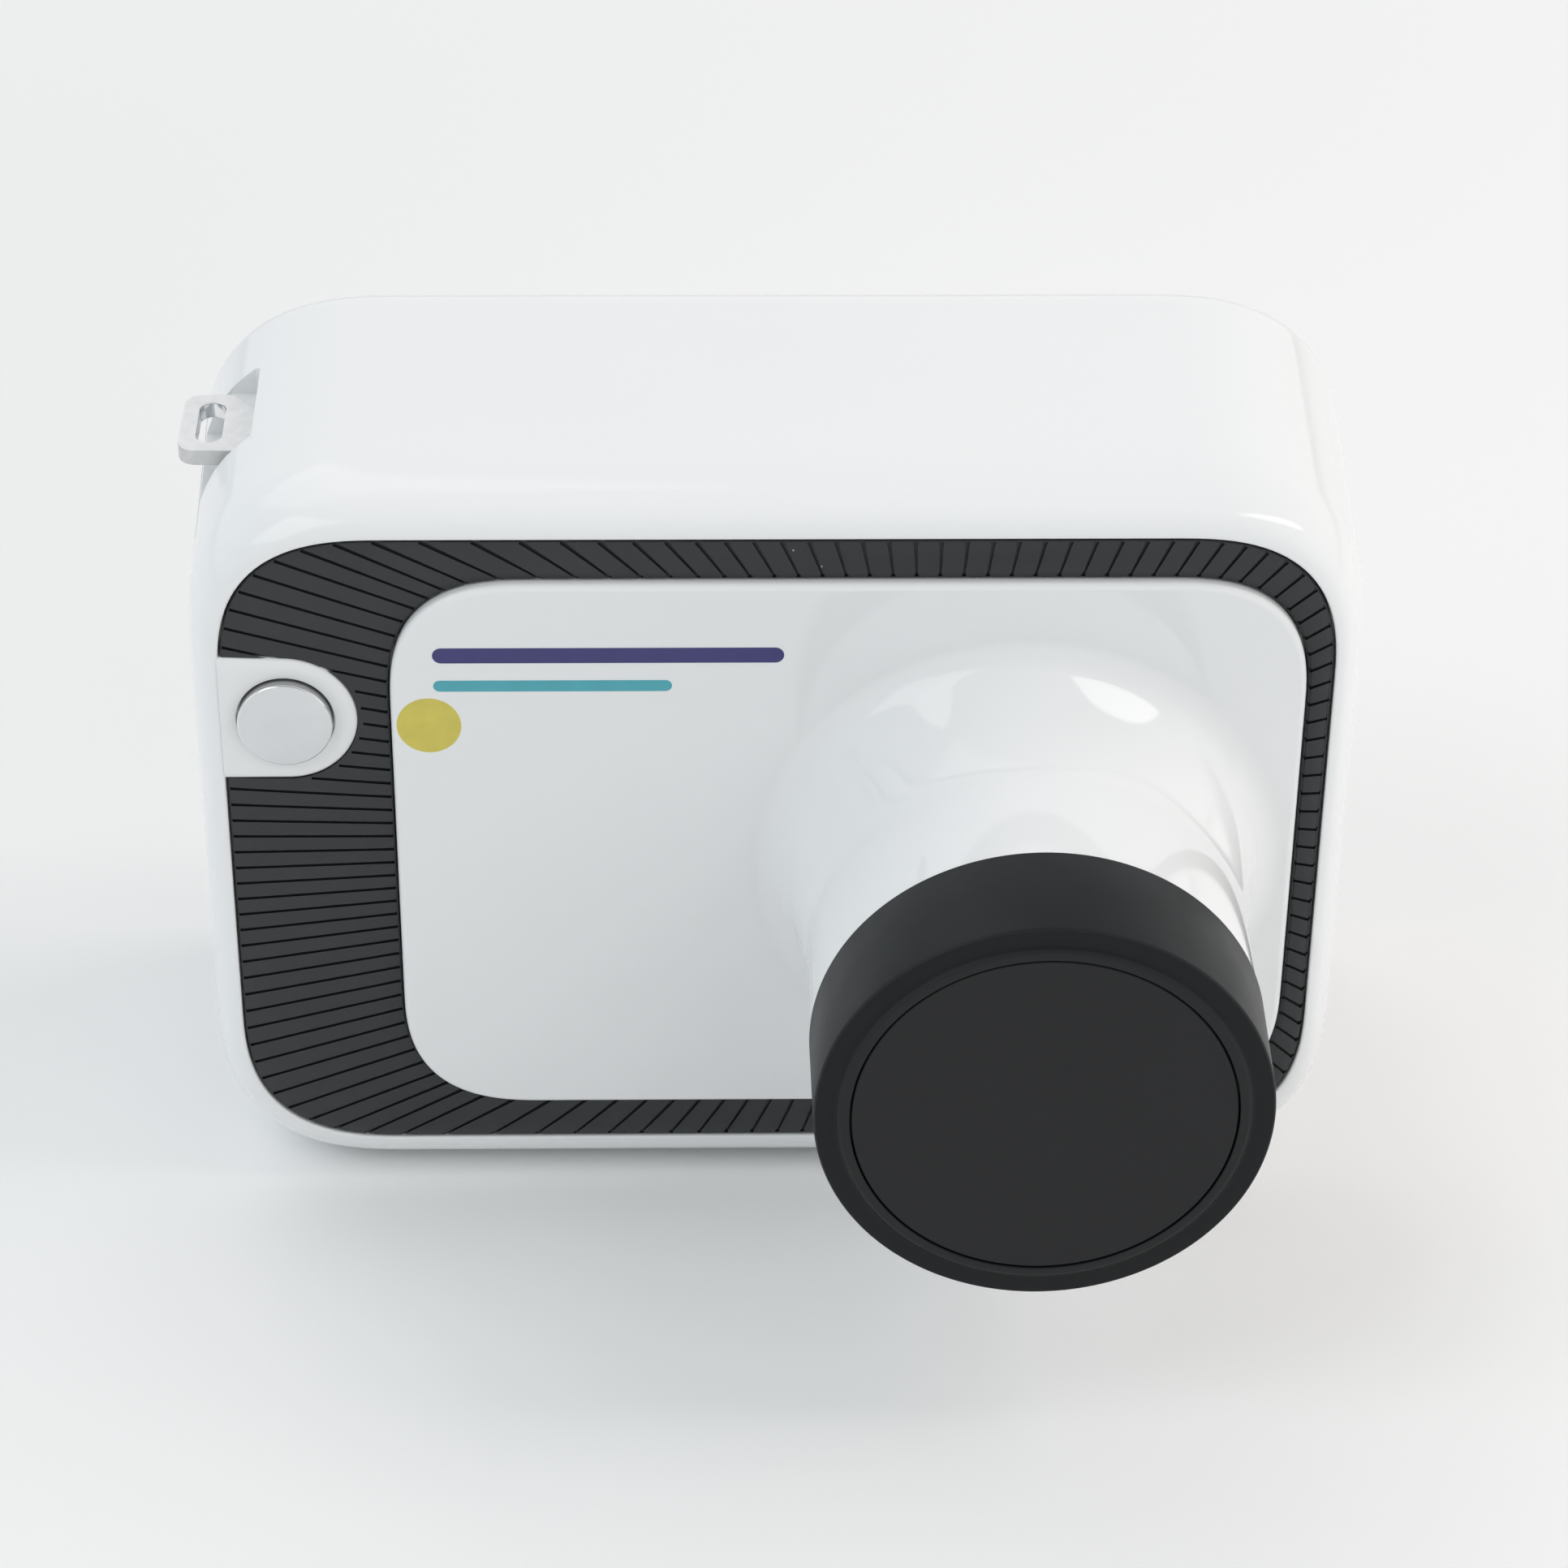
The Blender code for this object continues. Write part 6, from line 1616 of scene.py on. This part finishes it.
    def signs(self) -> dict[KeySign, list[list[Point]]]:
        """Return the outlines of the plain signs on the keys, round the middle of each key."""
        bar, size = self.sign_line / 2, self.sign_size
        up = [(-size, -size * 0.6), (size, -size * 0.6), (0.0, size * 0.8)]
        return {KeySign.POWER: [self.stroke(size * 1.2, 125, 415),
                                [(-bar, 0.0), (bar, 0.0), (bar, size * 1.6), (-bar, size * 1.6)]],
                KeySign.UP: [up],
                KeySign.ROUND: [self.stroke(size * 0.8, start, start + 179.9) for start in (0, 180)],
                KeySign.DOWN: [[(x, -z) for x, z in reversed(up)]]}

    def sign(self, name: str, z: float, kind: KeySign) -> Piece:
        """Build the sign printed on one key.

        Args:
            name: Name of the piece.
            z: Height of the key's centre.
            kind: Which sign it is.

        Returns:
            The sign.
        """
        top = BODY.depth + self.key_rise - self.dish
        bm = bmesh.new()
        for outline in self.signs()[kind]:
            edge = [(self.key_x - x, z + up) for x, up in outline]
            Meshes.add_loft(bm, [BODY.ring(edge, top - self.sign_root), BODY.ring(edge, top + self.sign_rise)])
        return Meshes.finish(name, bm, SIGN_PRINT, sharp=30)

    def build(self) -> None:
        """Build and hand over the cover, the glass, the keys and their signs."""
        hand_over(self.cover(), UNIT, "white_plastic", "rear_cover")
        hand_over(self.glass(), UNIT, "dark_glass", "display_glass")
        for (node, body, z, radius), kind in zip(self.keys, KeySign):
            hand_over(self.key(f"{node}_cap", z, radius), body, "grey_plastic", node)
            hand_over(self.sign(f"{node}_sign", z, kind), body, "grey_plastic")


@dataclass
class BaseBush:
    """Threaded brass bush for a tripod."""

    x: float = 0.030
    radius: float = 0.0065
    bore: float = 0.0032
    low: float = 0.0003
    height: float = 0.008
    pitch: float = 0.00127
    thread: float = 0.0004
    mouth: float = 0.0005
    edge: float = 0.0003

    def build(self) -> None:
        """Build the bush, its thread drawn as fine rings, and hand it over."""
        low, high, soft = self.low, self.low + self.height, self.edge
        profile = [(self.radius - soft, low), (self.radius, low + soft), (self.radius, high),
                   (self.bore + soft, high)]
        turns = int((self.height - 2 * soft) / self.pitch)
        for count in range(turns):
            top = high - soft - count * self.pitch
            profile += [(self.bore, top), (self.bore + self.thread, top - self.pitch / 2)]
        profile += [(self.bore, low + 2 * soft), (self.bore + self.mouth, low)]
        bush = Meshes.upright("tripod_bush", self.x, 0.0, profile, 64, TURNED_BRASS, ring=True)
        hand_over(bush, UNIT, "brass", "tripod_insert")


@dataclass
class Markings:
    """Plain printed marks on the panel: a yellow disc and two slim stripes."""

    disc_x: float = -0.0595
    disc_z: float = 0.1002
    disc_radius: float = 0.0055
    thickness: float = 0.00005
    # Name, left and right end, height of the middle, height and finish of each stripe
    stripes: tuple[tuple[str, float, float, float, float, Finish], ...] = (
        ("indigo_stripe", -0.0585, 0.001, 0.1143, 0.0030, INDIGO_PRINT),
        ("teal_stripe", -0.0585, -0.018, 0.1082, 0.0022, TEAL_PRINT))

    def stripe(self, name: str, left: float, right: float, z: float, height: float, finish: Finish) -> Piece:
        """Build one slim stripe with round ends.

        Args:
            name: Name of the piece.
            left: X of its left end.
            right: X of its right end.
            z: Height of its middle.
            height: How high it is.
            finish: Its finish.

        Returns:
            The stripe.
        """
        radius = height / 2
        edge = arc((right - radius, z), radius, -90, 90, 12) + arc((left + radius, z), radius, 90, 270, 12)
        face = -FrontCover.rise
        return Meshes.slab(name, edge, face, face - self.thickness, finish)

    def build(self) -> None:
        """Build and hand over the marks."""
        face = -FrontCover.rise
        disc = Meshes.turned("yellow_mark", (self.disc_x, self.disc_z), (
            (self.disc_radius, face), (self.disc_radius, face - self.thickness)), 96, YELLOW_PRINT)
        for mark in (disc, *(self.stripe(*row) for row in self.stripes)):
            hand_over(mark, UNIT, "white_plastic")


@dataclass
class InnerWorks:
    """Finishes of the nodes that stay as they are inside the unit."""

    finishes: tuple[tuple[Finish, tuple[str, ...]], ...] = (
        (PLAIN_STEEL, ("wave_spring", "cathode", "lug_screw_1", "lug_screw_2",
                       *(f"{kind}_screw_{i}" for kind in ("front_cover", "tank") for i in range(1, 5)))),
        (BLASTED_ALUMINIUM, ("tank_plate", "tank_case", "tank_lid", "beam_filter")),
        (DULL_LEAD, ("tube_liner", "beam_collimator", "tank_shield")),
        (BARE_COPPER, ("anode", "hv_winding")),
        (TUBE_GLASS, ("xray_tube",)),
        (CAST_RESIN, ("tube_saddle_low", "tube_saddle_top", "hv_multiplier")),
        (SINTERED_FERRITE, ("hv_core",)),
        (CIRCUIT_GREEN, ("main_board", "trigger_board", "key_board")),
        (CELL_WRAP, ("battery_pack",)),
        (GREY_MOULDING, ("battery_cradle", "trigger_switch", "display_module")),
        (SATIN_BLACK, ("battery_connector", "buzzer")),
        (RIBBED_RUBBER, ("rear_seal",)))

    def build(self) -> None:
        """Dress every node that stays."""
        for finish, names in self.finishes:
            for name in names:
                finish.repaint(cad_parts[name])
            LOG.info("%s on %s", finish.name, ", ".join(names))


# Studio


@dataclass(frozen=True)
class Softbox:
    """An area lamp: its place, its size, its power in watts, its tint and the point that it faces."""

    name: str
    place: Triple
    size: Point
    power: float
    tint: Colour = (1.0, 1.0, 1.0)
    aim: Triple = (0.0, 0.0, 0.05)
    # Turn about its own axis, for an elliptical lamp
    roll: float | None = None
    # Whether glossy surfaces show it
    mirrored: bool = True

    def hang(self) -> None:
        """Add the lamp to the scene."""
        lamp = bpy.data.lights.new(self.name, "AREA")
        lamp.shape = "RECTANGLE" if self.roll is None else "ELLIPSE"
        lamp.size, lamp.size_y = self.size
        lamp.energy, lamp.color = self.power, self.tint
        item = Meshes.place(self.name, lamp)
        item.location = self.place
        item.visible_glossy = self.mirrored
        turn = (Vector(self.aim) - Vector(self.place)).to_track_quat("-Z", "Y").to_matrix()
        item.rotation_euler = (turn @ Matrix.Rotation(self.roll or 0.0, 3, "Z")).to_euler()


@dataclass
class Studio:
    """Pale floor, soft light and the camera."""

    floor_size: float = 60.0
    floor_drop: float = 0.0002
    floor_tone: Colour = (0.92, 0.92, 0.92)
    floor_roughness: float = 0.8
    floor_specular: float = 0.2
    fade: tuple[float, float] = (0.3, 0.85)
    backdrop: Colour = (0.92, 0.925, 0.925)
    backdrop_end: tuple[float, float] = (0.3, 0.75)
    ceiling: Colour = (0.42, 0.43, 0.44)
    # Axis of each soft share of the light and its colour
    ambience: tuple[tuple[Triple, Colour], ...] = (
        ((-1.0, 0.0, 0.0), (0.79, 0.88, 0.93)), ((1.0, 0.0, 0.0), (0.445, 0.465, 0.46)),
        ((0.0, 1.0, 0.0), (0.38, 0.38, 0.38)), ((0.0, 0.0, 1.0), (0.304, 0.30, 0.296)))
    eye: Triple = (-0.013865, -0.695762, 0.537910)
    right: Triple = (0.99981534, -0.01753342, 0.0078656)
    up: Triple = (0.00344098, 0.56603551, 0.82437368)
    ahead: Triple = (0.0189063, 0.82419438, -0.56599132)
    focal_pixels: float = 5685.97
    photo_pixels: float = 1932.0
    sensor: float = 36.0
    clip: tuple[float, float] = (0.01, 50.0)
    softboxes: tuple[Softbox, ...] = (
        Softbox("right_softbox", (1.3, 0.2, 1.1), (1.0, 1.0), 6.8, (1.0, 0.905, 0.865), mirrored=False),
        Softbox("left_softbox", (-0.9, -0.6, 1.3), (1.0, 1.0), 4.4, (0.965, 1.0, 0.99)),
        Softbox("front_softbox", (0.8, -1.1, 0.8), (1.4, 1.4), 5.6, mirrored=False),
        Softbox("rear_softbox", (-0.6, 0.8, 1.4), (1.0, 1.0), 2.0, (1.0, 0.94, 0.955)),
        Softbox("upper_lamp", (1.17, -0.08, 1.52), (0.30, 1.25), 3.2, (1.0, 0.96, 0.94),
                (0.057, -0.044, 0.109), 0.4))

    def camera(self) -> None:
        """Create the camera at the photograph's angle."""
        lens = bpy.data.cameras.new("photo_camera")
        lens.sensor_width = self.sensor
        lens.lens = self.focal_pixels / self.photo_pixels * self.sensor
        lens.clip_start, lens.clip_end = self.clip
        camera = Meshes.place("photo_camera", lens)
        turn = Matrix((self.right, self.up, -Vector(self.ahead))).transposed()
        camera.matrix_world = Matrix.Translation(self.eye) @ turn.to_4x4()
        bpy.context.scene.camera = camera

    def floor(self) -> None:
        """Create the floor, which keeps the unit's shadow."""
        bm = bmesh.new()
        half = self.floor_size / 2
        bm.faces.new([bm.verts.new(p) for p in ((-half, -half, 0), (half, -half, 0), (half, half, 0),
                                                (-half, half, 0))])
        floor = Meshes.plain("studio_floor", bm)
        floor.data.materials.append(self.floor_material())
        floor.location.z = -self.floor_drop

    def floor_material(self) -> bpy.types.Material:
        """Return the floor's material, which far away goes over into the background."""
        made = bpy.data.materials.new("studio_floor")
        made.use_nodes = True
        graph = Graph(made.node_tree)
        shader = graph.tree.nodes["Principled BSDF"]
        graph.feed(shader, {"Base Color": solid(self.floor_tone), "Roughness": self.floor_roughness,
                            "Specular IOR Level": self.floor_specular})
        place = graph.node("ShaderNodeTexCoord").outputs["Object"]
        away = graph.node("ShaderNodeVectorMath", {0: place}, operation="LENGTH").outputs["Value"]
        fade = graph.node("ShaderNodeMapRange", {"Value": away, "From Min": self.fade[0], "From Max": self.fade[1]},
                          interpolation_type="SMOOTHSTEP").outputs["Result"]
        seen = graph.calc("MULTIPLY", fade, graph.node("ShaderNodeLightPath").outputs["Is Camera Ray"])
        glow = graph.node("ShaderNodeEmission", {"Color": solid(self.backdrop)}).outputs[0]
        mix = graph.node("ShaderNodeMixShader", {"Fac": seen, 1: shader.outputs[0], 2: glow})
        graph.feed(graph.tree.nodes["Material Output"], {"Surface": mix.outputs[0]})
        return made

    def world(self) -> None:
        """Set the world: soft light from each side, and a pale backdrop for what looks at it."""
        world = bpy.data.worlds.new("studio_world")
        bpy.context.scene.world = world
        world.use_nodes = True
        graph = Graph(world.node_tree)
        graph.tree.nodes.clear()
        place = graph.node("ShaderNodeTexCoord").outputs["Generated"]
        total = None
        for axis, colour in self.ambience:
            facing = graph.node("ShaderNodeVectorMath", {0: place, 1: axis}, operation="DOT_PRODUCT")
            share = graph.calc("MAXIMUM", facing.outputs["Value"], 0.0)
            lobe = graph.node("ShaderNodeVectorMath", {0: colour, "Scale": share}, operation="SCALE")
            if total is not None:
                lobe = graph.node("ShaderNodeVectorMath", {0: total, 1: lobe.outputs["Vector"]})
            total = lobe.outputs["Vector"]
        height = graph.node("ShaderNodeSeparateXYZ", {0: place}).outputs["Z"]
        rise = graph.node("ShaderNodeMapRange", {"Value": height, "From Min": self.backdrop_end[0],
                                                 "From Max": self.backdrop_end[1]}).outputs["Result"]
        shade = graph.blend(rise, solid(self.backdrop), solid(self.ceiling))
        lit, seen = (graph.node("ShaderNodeBackground", {"Color": colour}).outputs[0] for colour in (total, shade))
        rays = graph.node("ShaderNodeLightPath").outputs
        mirrored = graph.calc("MAXIMUM", rays["Is Glossy Ray"], rays["Is Transmission Ray"])
        direct = graph.calc("MAXIMUM", rays["Is Camera Ray"], mirrored)
        mix = graph.node("ShaderNodeMixShader", {"Fac": direct, 1: lit, 2: seen})
        graph.node("ShaderNodeOutputWorld", {"Surface": mix.outputs[0]})

    def build(self) -> None:
        """Build the studio."""
        self.camera()
        self.floor()
        self.world()
        for softbox in self.softboxes:
            softbox.hang()
        bpy.context.scene.view_settings.view_transform = "Standard"
        LOG.info("studio: camera, floor, world and %d softboxes", len(self.softboxes))


def main() -> None:
    """Build every sub-assembly, then the studio."""
    logging.basicConfig(level=logging.INFO, format="%(name)s: %(message)s")
    for part in (Studio(), InnerWorks(), Shell(), FrontCover(), GripBand(), Collar(), ExposureButton(), StrapLug(),
                 RearCover(), Fasteners(), BaseBush(), Markings()):
        LOG.info("building %s", type(part).__name__)
        part.build()
    bpy.context.view_layer.update()


if __name__ == "__main__":
    main()
